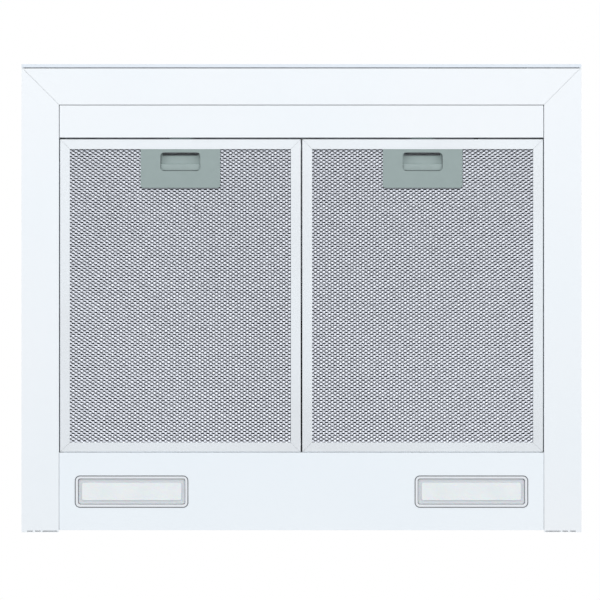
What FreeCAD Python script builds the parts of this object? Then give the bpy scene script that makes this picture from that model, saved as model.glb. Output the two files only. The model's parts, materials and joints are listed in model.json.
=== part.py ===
import FreeCAD, Part
import math
import os
import Sketcher

# An under-cabinet range hood with two swing-down grease filters.
#
# Frame: the origin is on the top plane that meets the cabinet, at the centre of the four cabinet
# screws and on the axis of the round duct collar. +X is to the right for a person facing the hood,
# +Y is towards the wall and +Z is up, so the underside lies at z = -height. Millimetres.

DRIVING = (
    # outside of the canopy
    ("width", 598), ("depth", 500), ("height", 140), ("wall_y", 160), ("sheet", 0.8),
    ("lip_height", 46), ("cabinet_depth", 320), ("side_rail", 39.9), ("seam", 0.3),
    ("upstand", 10), ("fascia_depth", 3.6), ("fascia_gap", 1), ("side_setback", 0.1),
    # distances back from the front edge
    ("front_rail_end", 43.3), ("cross_start", 44), ("cross_end", 78.3), ("filter_start", 80.3),
    ("filter_end", 414.5), ("lamp_panel_start", 414.8), ("lamp_panel_end", 497.7),
    ("panel_recess", 0.6), ("cross_side_gap", 0.7), ("lamp_side_gap", 0.3), ("panel_upstand", 14),
    # grease filters
    ("filter_gap", 1.8), ("filter_side_gap", 1.2), ("filter_recess", 1), ("filter_thick", 9),
    ("frame_face", 10.4), ("frame_top_face", 8), ("mitre_gap", 0.1), ("pivot_radius", 1),
    ("mesh_thick", 0.4), ("tab_width", 14), ("tab_length", 8), ("tab_spread", 70),
    ("plate_width", 85), ("plate_start", 10.5), ("plate_end", 51.8), ("window_width", 42.5),
    ("window_start", 14), ("window_length", 19.7), ("window_corner", 3.7), ("plate_corner", 3),
    ("bolt_width", 24), ("bolt_reach", 3.6), ("slider_thick", 1.2), ("ramp_start", 26),
    ("ramp_end", 33),
    # lamps
    ("lamp_x", 181.5), ("lamp_from_front", 456.6), ("lamp_length", 120.3), ("lamp_width", 33.4),
    ("lamp_corner", 5), ("lamp_cut_gap", 0.5), ("lamp_ring", 2.9), ("lens_length", 106),
    ("lens_width", 18.6), ("lamp_tall", 22),
    # blower
    ("blower_x", -165), ("blower_y", -60), ("impeller_radius", 80), ("blade_inner", 66),
    ("blade_count", 36), ("scroll_start", 86), ("scroll_growth", 9), ("tongue_angle", 40),
    ("blower_floor", -96), ("blower_wall", 2.2), ("inlet_radius", 62), ("motor_radius", 44),
    ("motor_top", -12), ("motor_tall", 48), ("shaft_radius", 4), ("running_gap", 0.05),
    # discharge and duct
    ("plenum_half", 75), ("plenum_half_y", 65), ("duct_radius", 59.5), ("collar_tall", 36),
    ("collar_wall", 1.2), ("collar_flange", 75), ("gasket_thick", 1.5), ("flap_z", 14),
    ("pin_radius", 1.5), ("knuckle_radius", 2.6),
    # controls
    ("control_x", 190), ("control_rise", 23), ("button_pitch", 19), ("button_width", 14.4),
    ("button_tall", 10.4), ("button_gap", 0.3),
    # electrics
    ("box_left", 105), ("box_right", 265), ("box_front", -110), ("box_back", 60), ("box_deep", 45),
    ("gland_x", 225), ("gland_y", 20), ("gland_bore", 4.5), ("gland_throat_top", 2),
    ("gland_hole", 8.2),
    # fixings
    ("mount_spacing_x", 560), ("mount_spacing_y", 240), ("mount_hole", 2.75),
    ("screw_radius", 1.5), ("screw_hole", 1.7), ("screw_head", 3.2),
)


class Dim:
    """A number together with the spreadsheet formula that it comes from."""

    def __init__(self, value, formula):
        self.value = float(value)
        self.formula = formula

    def __add__(self, other):
        other = dim(other)
        return Dim(self.value + other.value, f"({self.formula} + {other.formula})")

    def __sub__(self, other):
        other = dim(other)
        return Dim(self.value - other.value, f"({self.formula} - {other.formula})")

    def __mul__(self, other):
        other = dim(other)
        return Dim(self.value * other.value, f"({self.formula} * {other.formula})")

    def __truediv__(self, other):
        other = dim(other)
        return Dim(self.value / other.value, f"({self.formula} / {other.formula})")

    def __neg__(self):
        return Dim(-self.value, f"(0 - {self.formula})")

    __radd__ = __add__
    __rmul__ = __mul__

    def __rsub__(self, other):
        return dim(other) - self


def dim(number):
    return number if isinstance(number, Dim) else Dim(number, f"({number})")


doc = FreeCAD.newDocument("range_hood")
sheet = doc.addObject("Spreadsheet::Sheet", "Dims")
D = {}
for row, (alias, value) in enumerate(DRIVING, start=1):
    sheet.set(f"A{row}", alias)
    sheet.set(f"B{row}", str(value))
    sheet.setAlias(f"B{row}", alias)
    D[alias] = Dim(value, f"Dims.{alias}")
doc.recompute()

# Planes that many pieces share.
HALF = D["width"] / 2
T = D["sheet"]
BACK = D["wall_y"]
FRONT = BACK - D["depth"]
FLOOR = -D["height"]
WALL_FRONT = FRONT + D["fascia_depth"] + D["fascia_gap"]
RAIL_IN = HALF - D["side_rail"]
RAIL_END = FRONT + D["front_rail_end"]
SLOPE_TOP = BACK - D["cabinet_depth"]
LIP_TOP = FLOOR + D["lip_height"]
CROSS_HALF = RAIL_IN - D["cross_side_gap"]
LAMP_HALF = RAIL_IN - D["lamp_side_gap"]
PANEL_Z = FLOOR + D["panel_recess"]
FILTER_Z = FLOOR + D["filter_recess"]
FILTER_FRONT = FRONT + D["filter_start"]
FILTER_BACK = FRONT + D["filter_end"]

SUBPARTS = []


# ---------------------------------------------------------------- sketch outlines

def poly(points):
    """A closed outline of straight lines, each corner bound to the sheet."""
    points = [(dim(u), dim(v)) for u, v in points]

    def draw(sketch):
        first = sketch.GeometryCount
        count = len(points)
        at = [FreeCAD.Vector(u.value, v.value, 0) for u, v in points]
        for i in range(count):
            sketch.addGeometry(Part.LineSegment(at[i], at[(i + 1) % count]), False)
        for i in range(count):
            join(sketch, first + i, first + (i + 1) % count)
            bind_point(sketch, first + i, points[i])

    return draw


def rect(u0, v0, u1, v1):
    return poly([(u0, v0), (u1, v0), (u1, v1), (u0, v1)])


def middled(u, v, half_u, half_v, radius=None):
    """A rectangle about its middle point, with round corners if a radius is given."""
    ends = (u - half_u, v - half_v, u + half_u, v + half_v)
    return rounded(*ends, radius) if radius else rect(*ends)


def rounded(u0, v0, u1, v1, radius):
    """A rectangle with four round corners."""
    u0, v0, u1, v1, radius = (dim(x) for x in (u0, v0, u1, v1, radius))
    ends = [
        (u0 + radius, v0), (u1 - radius, v0), (u1, v0 + radius), (u1, v1 - radius),
        (u1 - radius, v1), (u0 + radius, v1), (u0, v1 - radius), (u0, v0 + radius),
    ]
    centres = [
        (u1 - radius, v0 + radius, -90), (u1 - radius, v1 - radius, 0),
        (u0 + radius, v1 - radius, 90), (u0 + radius, v0 + radius, 180),
    ]

    def draw(sketch):
        first = sketch.GeometryCount
        for side in range(4):
            a, b = ends[2 * side], ends[2 * side + 1]
            start = FreeCAD.Vector(a[0].value, a[1].value, 0)
            stop = FreeCAD.Vector(b[0].value, b[1].value, 0)
            sketch.addGeometry(Part.LineSegment(start, stop), False)
            u, v, begin = centres[side]
            middle = FreeCAD.Vector(u.value, v.value, 0)
            bend = Part.Circle(middle, FreeCAD.Vector(0, 0, 1), radius.value)
            turn = math.radians(begin)
            sketch.addGeometry(Part.ArcOfCircle(bend, turn, turn + math.pi / 2), False)
        for side in range(4):
            line, arc = first + 2 * side, first + 2 * side + 1
            join(sketch, line, arc)
            join(sketch, arc, first + (2 * side + 2) % 8)
            bind_point(sketch, line, ends[2 * side])
            bind(sketch, sketch.addConstraint(Sketcher.Constraint("Radius", arc, radius.value)), radius)
            bind_point(sketch, arc, ends[2 * side + 1])

    return draw


def corner_waste(u, v, radius):
    """What rounding off the corner at greatest u and least v takes away."""
    u, v, radius = dim(u), dim(v), dim(radius)

    def draw(sketch):
        corner = FreeCAD.Vector(u.value, v.value, 0)
        high = FreeCAD.Vector(u.value, (v + radius).value, 0)
        low = FreeCAD.Vector((u - radius).value, v.value, 0)
        middle = FreeCAD.Vector((u - radius).value, (v + radius).value, 0)
        sketch.addGeometry(Part.LineSegment(high, corner), False)
        sketch.addGeometry(Part.LineSegment(corner, low), False)
        round_edge = Part.Circle(middle, FreeCAD.Vector(0, 0, 1), radius.value)
        sketch.addGeometry(Part.ArcOfCircle(round_edge, -math.pi / 2, 0), False)
        for first, second in ((0, 1), (1, 2), (2, 0)):
            join(sketch, first, second)
        bind_point(sketch, 0, (u, v + radius))
        bind_point(sketch, 1, (u, v))
        bind_point(sketch, 2, (u - radius, v))
        bind(sketch, sketch.addConstraint(Sketcher.Constraint("Radius", 2, radius.value)), radius)

    return draw


def circle(u, v, radius):
    u, v, radius = dim(u), dim(v), dim(radius)

    def draw(sketch):
        middle = FreeCAD.Vector(u.value, v.value, 0)
        edge = sketch.addGeometry(Part.Circle(middle, FreeCAD.Vector(0, 0, 1), radius.value), False)
        bind(sketch, sketch.addConstraint(Sketcher.Constraint("Radius", edge, radius.value)), radius)
        bind_point(sketch, edge, (u, v), 3)

    return draw


def join(sketch, first, second):
    sketch.addConstraint(Sketcher.Constraint("Coincident", first, 2, second, 1))


def bind(sketch, index, size):
    sketch.setExpression(f"Constraints[{index}]", size.formula)


def bind_point(sketch, edge, place, end=1):
    for kind, size in zip(("DistanceX", "DistanceY"), place):
        rule = Sketcher.Constraint(kind, -1, 1, edge, end, size.value)
        bind(sketch, sketch.addConstraint(rule), size)


# ---------------------------------------------------------------- features

PLANE = {"x": "YZ_Plane", "y": "XZ_Plane", "z": "XY_Plane"}


def piece(label, at=None):
    """A body of its own, with its local origin at the given place."""
    body = doc.addObject("PartDesign::Body", label)
    body.Label = label
    if at:
        for axis, size in zip("xyz", at):
            body.setExpression(f"Placement.Base.{axis}", dim(size).formula)
    SUBPARTS.append(body)
    return body


def sketch_on(body, axis, offset, outlines):
    """A sketch square to the axis. Its two directions are the other axes, in X, Y, Z order."""
    sketch = body.newObject("Sketcher::SketchObject", "Outline")
    role = PLANE[axis]
    plane = [f for f in body.Origin.OriginFeatures if f.Role == role][0]
    sketch.AttachmentSupport = [(plane, "")]
    sketch.MapMode = "FlatFace"
    sketch.setExpression("AttachmentOffset.Base.z", offset.formula)
    for outline in outlines:
        outline(sketch)
    return sketch


def pad(body, axis, low, high, *outlines):
    """Adds the outlines, stretched from low to high along the axis. An XZ sketch faces -Y."""
    low, high = dim(low), dim(high)
    offset = -high if axis == "y" else low
    feature = body.newObject("PartDesign::Pad", "Pad")
    feature.Profile = sketch_on(body, axis, offset, outlines)
    feature.setExpression("Length", (high - low).formula)
    body.Tip = feature
    return feature


def cut(body, axis, low, high, *outlines):
    """Removes the outlines from low to high along the axis."""
    low, high = dim(low), dim(high)
    offset = -low if axis == "y" else high
    feature = body.newObject("PartDesign::Pocket", "Pocket")
    feature.Profile = sketch_on(body, axis, offset, outlines)
    feature.setExpression("Length", (high - low).formula)
    body.Tip = feature
    return feature


def revolve(body, points):
    """Adds a body of revolution about the local Z axis, from (radius, z) points."""
    feature = body.newObject("PartDesign::Revolution", "Revolution")
    sketch = sketch_on(body, "y", dim(0), [poly(points)])
    feature.Profile = sketch
    feature.ReferenceAxis = (sketch, ["V_Axis"])
    feature.Angle = 360
    body.Tip = feature
    return feature


def polar(body, feature, count):
    """Repeats a feature about the local Z axis."""
    pattern = body.newObject("PartDesign::PolarPattern", "PolarPattern")
    pattern.Originals = [feature]
    pattern.Axis = (feature.Profile[0], ["N_Axis"])
    pattern.Angle = 360
    pattern.setExpression("Occurrences", dim(count).formula)
    body.Tip = pattern
    return pattern


def made(label, shape):
    """A sub-part whose shape only Part's own functions can make."""
    feature = doc.addObject("Part::Feature", label)
    feature.Label = label
    feature.Shape = shape
    SUBPARTS.append(feature)
    return feature


def ordered(a, b):
    a, b = dim(a), dim(b)
    return (a, b) if a.value < b.value else (b, a)


def corners(u0, v0, u1, v1):
    """The same rectangle with its lower corner first."""
    (a, b), (c, d) = ordered(u0, u1), ordered(v0, v1)
    return a, c, b, d


def ring_places(radius, angles):
    """Places on a circle about the origin, at angles in degrees."""
    turns = [math.radians(a) for a in angles]
    return [(radius * round(math.cos(t), 5), radius * round(math.sin(t), 5)) for t in turns]


HEXAGON = range(0, 360, 60)


def in_blower(places):
    return [(D["blower_x"] + x, D["blower_y"] + y) for x, y in places]


def screws(body, axis, seat, tip, places, head=None):
    """Pan-head screws with their heads on the seat plane and their shanks running to the tip."""
    seat, tip = dim(seat), dim(tip)
    head_tall = 1.2
    outward = seat - head_tall if tip.value > seat.value else seat + head_tall
    low, high = ordered(seat, outward)
    pad(body, axis, low, high, *[circle(u, v, head or D["screw_head"]) for u, v in places])
    low, high = ordered(seat, tip)
    pad(body, axis, low, high, *[circle(u, v, D["screw_radius"]) for u, v in places])


# ---------------------------------------------------------------- canopy

MOUNT_X = D["mount_spacing_x"] / 2
MOUNT_Y = D["mount_spacing_y"] / 2
MOUNT_PLACES = [(sx * MOUNT_X, sy * MOUNT_Y) for sx in (-1, 1) for sy in (-1, 1)]
COLLAR_SCREW = D["collar_flange"] - 5.5
COLLAR_PLACES = ring_places(COLLAR_SCREW, (45, 135, 225, 315))
BLOWER_EARS = in_blower([(-62, 108), (55, 122), (76, -74), (-84, -84)])
BOX_INSET = 10
BOX_SCREWS = [
    (x, y)
    for x in (D["box_left"] + BOX_INSET, D["box_right"] - BOX_INSET)
    for y in (D["box_front"] + BOX_INSET, D["box_back"] - BOX_INSET)
]
CONTROL_Z = FLOOR + D["control_rise"]
CONTROL_HALF = D["button_pitch"] * 2.5
HEM_Y = BACK - 2.2
HEM_SCREWS = [(x, dim(-6)) for x in (-240, -120, 0, 120, 240)]
SHELL_HALF = HALF - T - D["side_setback"]


def canopy_shell():
    """One folded sheet: front rail, front wall, slope, flat top and rear hem."""
    body = piece("canopy_shell")
    slope = math.atan2(float((-LIP_TOP).value), float((SLOPE_TOP - WALL_FRONT).value))
    lean = T * round(math.tan(slope / 2), 6)
    steep = T * round(math.tan((math.pi / 2 - slope) / 2), 6)
    pad(body, "x", -SHELL_HALF, SHELL_HALF, poly([
        (WALL_FRONT, FLOOR), (WALL_FRONT, LIP_TOP), (SLOPE_TOP, 0), (HEM_Y + T, 0),
        (HEM_Y + T, -12), (HEM_Y, -12), (HEM_Y, -T), (SLOPE_TOP + lean, -T),
        (WALL_FRONT + T, LIP_TOP - steep), (WALL_FRONT + T, FLOOR),
    ]))
    mitre_end = RAIL_IN + (RAIL_END - WALL_FRONT - T) - D["seam"]
    inner = RAIL_IN - D["seam"]
    pad(body, "z", FLOOR, FLOOR + T, poly([
        (-mitre_end, WALL_FRONT), (mitre_end, WALL_FRONT), (mitre_end, WALL_FRONT + T),
        (inner, RAIL_END), (-inner, RAIL_END), (-mitre_end, WALL_FRONT + T),
    ]))
    pad(body, "z", FLOOR, FLOOR + D["upstand"], rect(-inner + T, RAIL_END - T, inner - T, RAIL_END))
    holes = [circle(0, 0, D["duct_radius"] - 1.5), circle(D["gland_x"], D["gland_y"], D["gland_hole"])]
    holes += [circle(x, y, D["mount_hole"]) for x, y in MOUNT_PLACES]
    holes += [circle(x, y, D["screw_hole"]) for x, y in COLLAR_PLACES + BLOWER_EARS + BOX_SCREWS]
    cut(body, "z", -T - 1, 1, *holes)
    window = middled(D["control_x"], CONTROL_Z, CONTROL_HALF + 1.5, 8.5)
    cut(body, "y", WALL_FRONT - 1, WALL_FRONT + T + 1, window)
    cut(body, "y", HEM_Y - 1, HEM_Y + T + 1, *[circle(x, z, D["screw_hole"]) for x, z in HEM_SCREWS])


def side_panel(label, side):
    """A side wall with its bottom rail mitred into the front rail."""
    body = piece(label)
    front = FRONT + D["fascia_depth"] + D["side_setback"]
    low, high = ordered(side * HALF, side * (HALF - T))
    pad(body, "x", low, high, poly([
        (front, FLOOR), (front, LIP_TOP), (SLOPE_TOP, 0), (BACK, 0), (BACK, FLOOR)]))
    mitre_y = WALL_FRONT + T + D["side_setback"]
    mitre_x = RAIL_IN + (RAIL_END - mitre_y)
    pad(body, "z", FLOOR, FLOOR + T, poly([
        (side * (HALF - T), mitre_y), (side * mitre_x, mitre_y), (side * RAIL_IN, RAIL_END),
        (side * RAIL_IN, BACK), (side * (HALF - T), BACK)]))
    low, high = ordered(side * RAIL_IN, side * (RAIL_IN + T))
    pad(body, "x", low, high, rect(RAIL_END + 1, FLOOR, BACK - 12, FLOOR + D["upstand"]))
    low, high = ordered(side * HALF, side * (HALF - 2))
    pad(body, "x", low, high, rect(front, FLOOR, front + T, LIP_TOP - 1))
    rear = corners(side * (RAIL_IN + 1.5), BACK - T, side * (HALF - T), BACK)
    pad(body, "z", FLOOR, FLOOR + 12, rect(*rear))
    slots = [
        corners(side * (RAIL_IN + a), BACK - T - 0.9, side * (RAIL_IN + b), BACK - T)
        for a, b in ((1.5, 17.5), (19.5, 25.5), (27.8, 33.8))
    ]
    cut(body, "z", FLOOR - 1, FLOOR + T, *[rect(*slot) for slot in slots])
    low, high = ordered(side * (RAIL_IN - 1), side * (RAIL_IN + T + 1))
    cut(body, "x", low, high, *[circle(y, z, D["screw_hole"]) for y, z in FLANGE_SCREWS])


CROSS_FRONT = FRONT + D["cross_start"]
CROSS_BACK = FRONT + D["cross_end"]
CROSS_SCREW_Y = (CROSS_FRONT + CROSS_BACK) / 2
LAMP_FRONT = FRONT + D["lamp_panel_start"]
LAMP_BACK = FRONT + D["lamp_panel_end"]
LAMP_SCREW_Y = (LAMP_FRONT + LAMP_BACK) / 2
LAMP_Y = FRONT + D["lamp_from_front"]
FILTER_IN = D["filter_gap"] / 2
FILTER_OUT = RAIL_IN - D["filter_side_gap"]
FILTER_MID = (FILTER_IN + FILTER_OUT) / 2
SLIDER_LOW = FILTER_Z + 6.5
SLIDER_HIGH = SLIDER_LOW + D["slider_thick"]
FLANGE_SCREWS = [(CROSS_SCREW_Y, PANEL_Z + 6), (LAMP_SCREW_Y, PANEL_Z + 6)]


def end_flanges(body, half, low_y, high_y):
    """The upturned ends that are screwed to the side rails."""
    for side in (-1, 1):
        low, high = ordered(side * half, side * (half - T))
        flange = rect(low_y + 3, PANEL_Z, high_y - 3, PANEL_Z + D["panel_upstand"] - 2)
        pad(body, "x", low, high, flange)
        low, high = ordered(side * (half + 1), side * (half - T - 1))
        cut(body, "x", low, high, circle((low_y + high_y) / 2, PANEL_Z + 6, D["screw_hole"]))


def front_cross_rail():
    """The channel between the front rail and the filters, with a keeper slot for each latch."""
    body = piece("front_cross_rail")
    pad(body, "z", PANEL_Z, PANEL_Z + T, rect(-CROSS_HALF, CROSS_FRONT, CROSS_HALF, CROSS_BACK))
    top = PANEL_Z + D["panel_upstand"]
    inner = CROSS_HALF - 4
    pad(body, "z", PANEL_Z, top, rect(-inner, CROSS_FRONT, inner, CROSS_FRONT + T))
    pad(body, "z", PANEL_Z, top, rect(-inner, CROSS_BACK - T, inner, CROSS_BACK))
    end_flanges(body, CROSS_HALF, CROSS_FRONT, CROSS_BACK)
    half = D["bolt_width"] / 2 + 2
    cut(body, "y", CROSS_BACK - T - 1, CROSS_BACK + 1, *[
        rect(side * FILTER_MID - half, SLIDER_LOW - 1, side * FILTER_MID + half, SLIDER_HIGH + 1)
        for side in (-1, 1)])


def tab_places():
    return [side * FILTER_MID + way * D["tab_spread"] for side in (-1, 1) for way in (-1, 1)]


def lamp_outline(side, grow):
    """The outline of a lamp's bezel, with a margin all round it."""
    half_x, half_y = D["lamp_length"] / 2 + grow, D["lamp_width"] / 2 + grow
    return middled(side * D["lamp_x"], LAMP_Y, half_x, half_y, D["lamp_corner"] + grow)


def lamp_panel():
    """The rear underside panel, with two lamp openings and a slot for each filter tab."""
    body = piece("lamp_panel")
    pad(body, "z", PANEL_Z, PANEL_Z + T, rect(-LAMP_HALF, LAMP_FRONT, LAMP_HALF, LAMP_BACK))
    top = PANEL_Z + D["panel_upstand"]
    inner = LAMP_HALF - 4
    rear = LAMP_BACK - 0.9
    pad(body, "z", PANEL_Z, top, rect(-inner, LAMP_FRONT, inner, LAMP_FRONT + T))
    pad(body, "z", PANEL_Z, top, rect(-inner, rear - T, inner, rear))
    end_flanges(body, LAMP_HALF, LAMP_FRONT, LAMP_BACK)
    cut(body, "z", PANEL_Z - 1, PANEL_Z + T + 0.1, *[lamp_outline(s, D["lamp_cut_gap"]) for s in (-1, 1)])
    half = D["tab_width"] / 2 + 1
    cut(body, "y", LAMP_FRONT - 1, LAMP_FRONT + T + 1, *[
        rect(x - half, FILTER_Z + 2.6, x + half, FILTER_Z + 10.8) for x in tab_places()])


OUTLET_HALF_X = dim(110)
OUTLET_LOW, OUTLET_HIGH = dim(-92), dim(-22)
OUTLET_SCREWS = [
    (side * (OUTLET_HALF_X + 7), z)
    for side in (-1, 1)
    for z in (OUTLET_LOW + 10, OUTLET_HIGH - 10)
]
BACK_FACE = BACK - 2.3


def back_panel():
    """The rear wall, with the opening for a rear duct and two wall-screw holes."""
    body = piece("back_panel")
    rear = BACK_FACE
    pad(body, "y", rear - T, rear, rect(-SHELL_HALF, PANEL_Z + T + 0.2, SHELL_HALF, -T - 0.1))
    for side in (-1, 1):
        low, high = ordered(side * SHELL_HALF, side * (SHELL_HALF - T))
        pad(body, "x", low, high, rect(rear - 12, FLOOR + 20, rear, -20))
    cut(body, "y", rear - T - 1, rear + 1, *[circle(x, z, D["screw_hole"]) for x, z in HEM_SCREWS],
        *[circle(x, z, D["screw_hole"]) for x, z in OUTLET_SCREWS],
        rect(-OUTLET_HALF_X, OUTLET_LOW, OUTLET_HALF_X, OUTLET_HIGH))


def rear_outlet_cover():
    """The blanking plate over the unused rear duct opening, with a stiffening fold."""
    body = piece("rear_outlet_cover")
    front = BACK_FACE - T - 0.1
    pad(body, "y", front - T, front, rect(
        -OUTLET_HALF_X - 14, OUTLET_LOW - 8, OUTLET_HALF_X + 14, OUTLET_HIGH + 8))
    pad(body, "y", front - T - 6, front - T, rect(
        -OUTLET_HALF_X + 2, OUTLET_HIGH - T, OUTLET_HALF_X - 2, OUTLET_HIGH))
    cut(body, "y", front - T - 1, front + 1, *[circle(x, z, D["screw_hole"]) for x, z in OUTLET_SCREWS])


def front_fascia():
    """The shallow front pan that carries the buttons, on four welded stand-offs."""
    body = piece("front_fascia")
    pad(body, "y", FRONT, FRONT + T, rect(-HALF, FLOOR, HALF, LIP_TOP))
    for low, high in ((FLOOR, FLOOR + T), (LIP_TOP - T, LIP_TOP)):
        pad(body, "z", low, high, rect(-HALF, FRONT, HALF, FRONT + D["fascia_depth"]))
    for side in (-1, 1):
        low, high = ordered(side * HALF, side * (HALF - T))
        pad(body, "x", low, high, rect(FRONT, FLOOR, FRONT + D["fascia_depth"], LIP_TOP))
    places = [(x, FLOOR + z) for x in (-270, 270) for z in (12, 34)]
    pad(body, "y", FRONT + T, WALL_FRONT, *[circle(x, z, 4) for x, z in places])
    window = middled(D["control_x"], CONTROL_Z, CONTROL_HALF + 2.3, 10.2, 2.2)
    cut(body, "y", FRONT - 1, FRONT + T + 1, window)


def mounting_rails():
    """An angle along each side, under the flat top, that the cabinet screws pull up against."""
    body = piece("mounting_rails")
    strong = 1.5
    under = -T - 0.1
    for side in (-1, 1):
        outer = HALF - T - 0.2
        pad(body, "z", under - strong, under, rect(*corners(
            side * (outer - 24), SLOPE_TOP + 6, side * outer, BACK - 18)))
        low, high = ordered(side * outer, side * (outer - strong))
        pad(body, "x", low, high, rect(SLOPE_TOP + 6, -16, BACK - 18, under))
    cut(body, "z", under - strong - 1, under + 1, *[circle(x, y, D["mount_hole"]) for x, y in MOUNT_PLACES])


# ---------------------------------------------------------------- grease filters

def filter_frame(label, side):
    """Four mitred channel rails. The rear rail has the two tabs and the round edge it pivots on."""
    body = piece(label)
    face, gap = D["frame_face"], D["mitre_gap"]
    low_x, high_x = ordered(side * FILTER_IN, side * FILTER_OUT)
    low_y, high_y = FILTER_FRONT, FILTER_BACK
    top = FILTER_Z + D["filter_thick"]

    def ring(depth):
        return [
            [(low_x + gap, low_y), (high_x - gap, low_y),
             (high_x - depth - gap, low_y + depth), (low_x + depth + gap, low_y + depth)],
            [(low_x + gap, high_y), (high_x - gap, high_y),
             (high_x - depth - gap, high_y - depth), (low_x + depth + gap, high_y - depth)],
            [(low_x, low_y + gap), (low_x, high_y - gap),
             (low_x + depth, high_y - depth - gap), (low_x + depth, low_y + depth + gap)],
            [(high_x, low_y + gap), (high_x, high_y - gap),
             (high_x - depth, high_y - depth - gap), (high_x - depth, low_y + depth + gap)],
        ]

    pad(body, "z", FILTER_Z, FILTER_Z + T, *[poly(r) for r in ring(face)])
    pad(body, "z", top - T, top, *[poly(r) for r in ring(D["frame_top_face"])])
    pad(body, "z", FILTER_Z, top, *[poly(r) for r in ring(T)])
    half = D["tab_width"] / 2
    tab_low = FILTER_Z + 3
    pad(body, "z", tab_low, tab_low + 1, *[
        rect(x - half, high_y - T, x + half, high_y + D["tab_length"])
        for x in (side * FILTER_MID - D["tab_spread"], side * FILTER_MID + D["tab_spread"])])
    if side < 0:
        reach = FILTER_IN * 2 - 0.7
        pad(body, "z", FILTER_Z + 1.5, FILTER_Z + 4.5, *[
            rect(high_x - T, y, high_x - FILTER_IN + reach, y + 8)
            for y in (low_y + 3.7, high_y - 14.3)])
    half = D["bolt_width"] / 2 + 0.6
    middle = side * FILTER_MID
    cut(body, "y", low_y - 1, low_y + T + 0.5, rect(
        middle - half, SLIDER_LOW - 0.3, middle + half, SLIDER_HIGH + 0.3))
    cut(body, "x", low_x, high_x, corner_waste(high_y, FILTER_Z, D["pivot_radius"]))


def filter_layers(side, names):
    """The face mesh and the four layers behind it, each cut away round the latch."""
    low_x, high_x = ordered(side * (FILTER_IN + 1), side * (FILTER_OUT - 1))
    middle = side * FILTER_MID
    thick = D["mesh_thick"]
    for name, levels in zip(names, ([0.9], [2.4, 3.8, 5.2, 6.6])):
        body = piece(name)
        for level in levels:
            low = FILTER_Z + level
            pad(body, "z", low, low + thick, rect(low_x, FILTER_FRONT + 1, high_x, FILTER_BACK - 1.3))
        hole = rect(middle - 24.6, FILTER_FRONT, middle + 24.6, FILTER_FRONT + 51)
        cut(body, "z", FILTER_Z, FILTER_Z + D["filter_thick"], hole)


def latch_plate(label, side):
    """The moulded plate with the finger window, and the walls that guide the slider."""
    body = piece(label)
    middle = side * FILTER_MID
    start = FILTER_FRONT + D["window_start"]
    half = D["plate_width"] / 2
    win = D["window_width"] / 2
    front, back = FILTER_FRONT + D["plate_start"], FILTER_FRONT + D["plate_end"]
    face = FILTER_Z - 0.1
    pad(body, "z", face, FILTER_Z + T, rounded(middle - half, front, middle + half, back, D["plate_corner"]))
    pad(body, "z", face, FILTER_Z + T, rect(middle - half, front, middle + half, front + 10))
    wall, tall = 1.3, 7.9
    inside = win + 0.4
    outside = inside + wall
    y0, y1 = FILTER_FRONT + 13.3, FILTER_FRONT + 48.7
    low = FILTER_Z + T - 0.1
    pad(body, "z", low, FILTER_Z + tall, *[
        rect(*corners(middle + way * inside, y0, middle + way * outside, y1))
        for way in (-1, 1)])
    pad(body, "z", low, FILTER_Z + tall, rect(middle - outside, y1, middle + outside, y1 + wall))
    pad(body, "z", low, SLIDER_LOW - 0.3, rect(middle - outside, y0 - wall, middle + outside, y0))
    cut(body, "z", FILTER_Z - 1, FILTER_Z + T, rounded(
        middle - win, start, middle + win, start + D["window_length"], D["window_corner"]))


RAMP_FRONT = FILTER_FRONT + D["ramp_start"]
RAMP_BACK = FILTER_FRONT + D["ramp_end"]


def latch_slider(label, side):
    """The sprung slider: a plate with a finger slot and a ramp, and the bolt for the cross rail."""
    body = piece(label)
    middle = side * FILTER_MID
    half, bolt = D["window_width"] / 2, D["bolt_width"] / 2
    plate_front, plate_back = FILTER_FRONT + 2, FILTER_FRONT + 43
    pad(body, "z", SLIDER_LOW, SLIDER_HIGH, rect(middle - half, plate_front, middle + half, plate_back))
    pad(body, "z", SLIDER_LOW, SLIDER_HIGH, rect(
        middle - bolt, FILTER_FRONT - D["bolt_reach"], middle + bolt, plate_front + 1))
    slot_front = FILTER_FRONT + D["window_start"] - 0.6
    slot = rounded(middle - half + 1.8, slot_front, middle + half - 1.8, slot_front + 3.4, 1.2)
    cut(body, "z", SLIDER_LOW - 1, SLIDER_HIGH + 1, slot)
    foot = SLIDER_LOW + 0.2
    pad(body, "x", middle - half + 0.3, middle + half - 0.3, poly([
        (RAMP_FRONT, foot), (RAMP_FRONT, FILTER_Z + 2.6), (RAMP_FRONT + 1.2, FILTER_Z + 1.5),
        (RAMP_BACK, FILTER_Z + 2.6), (RAMP_BACK, foot)]))


def latch_spring(label, side):
    """The coil spring between the back of the finger ramp and the end wall of the plate."""
    turns, wire, radius = 7, 0.3, 1.4
    length = 15
    pitch = length / turns
    coil = Part.makeHelix(pitch, length - 2 * wire, radius)
    along = FreeCAD.Vector(0, 1, pitch / (2 * math.pi * radius))
    section = Part.Wire([Part.Circle(FreeCAD.Vector(radius, 0, 0), along, wire).toShape()])
    spring = Part.Wire(coil.Edges).makePipeShell([section], True, True)
    height = SLIDER_LOW.value - radius - 0.6
    at = FreeCAD.Vector((side * FILTER_MID).value, RAMP_BACK.value + 2 * wire, height)
    part = made(label, spring)
    part.Placement = FreeCAD.Placement(at, FreeCAD.Rotation(FreeCAD.Vector(1, 0, 0), -90))


# ---------------------------------------------------------------- lamps

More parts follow.
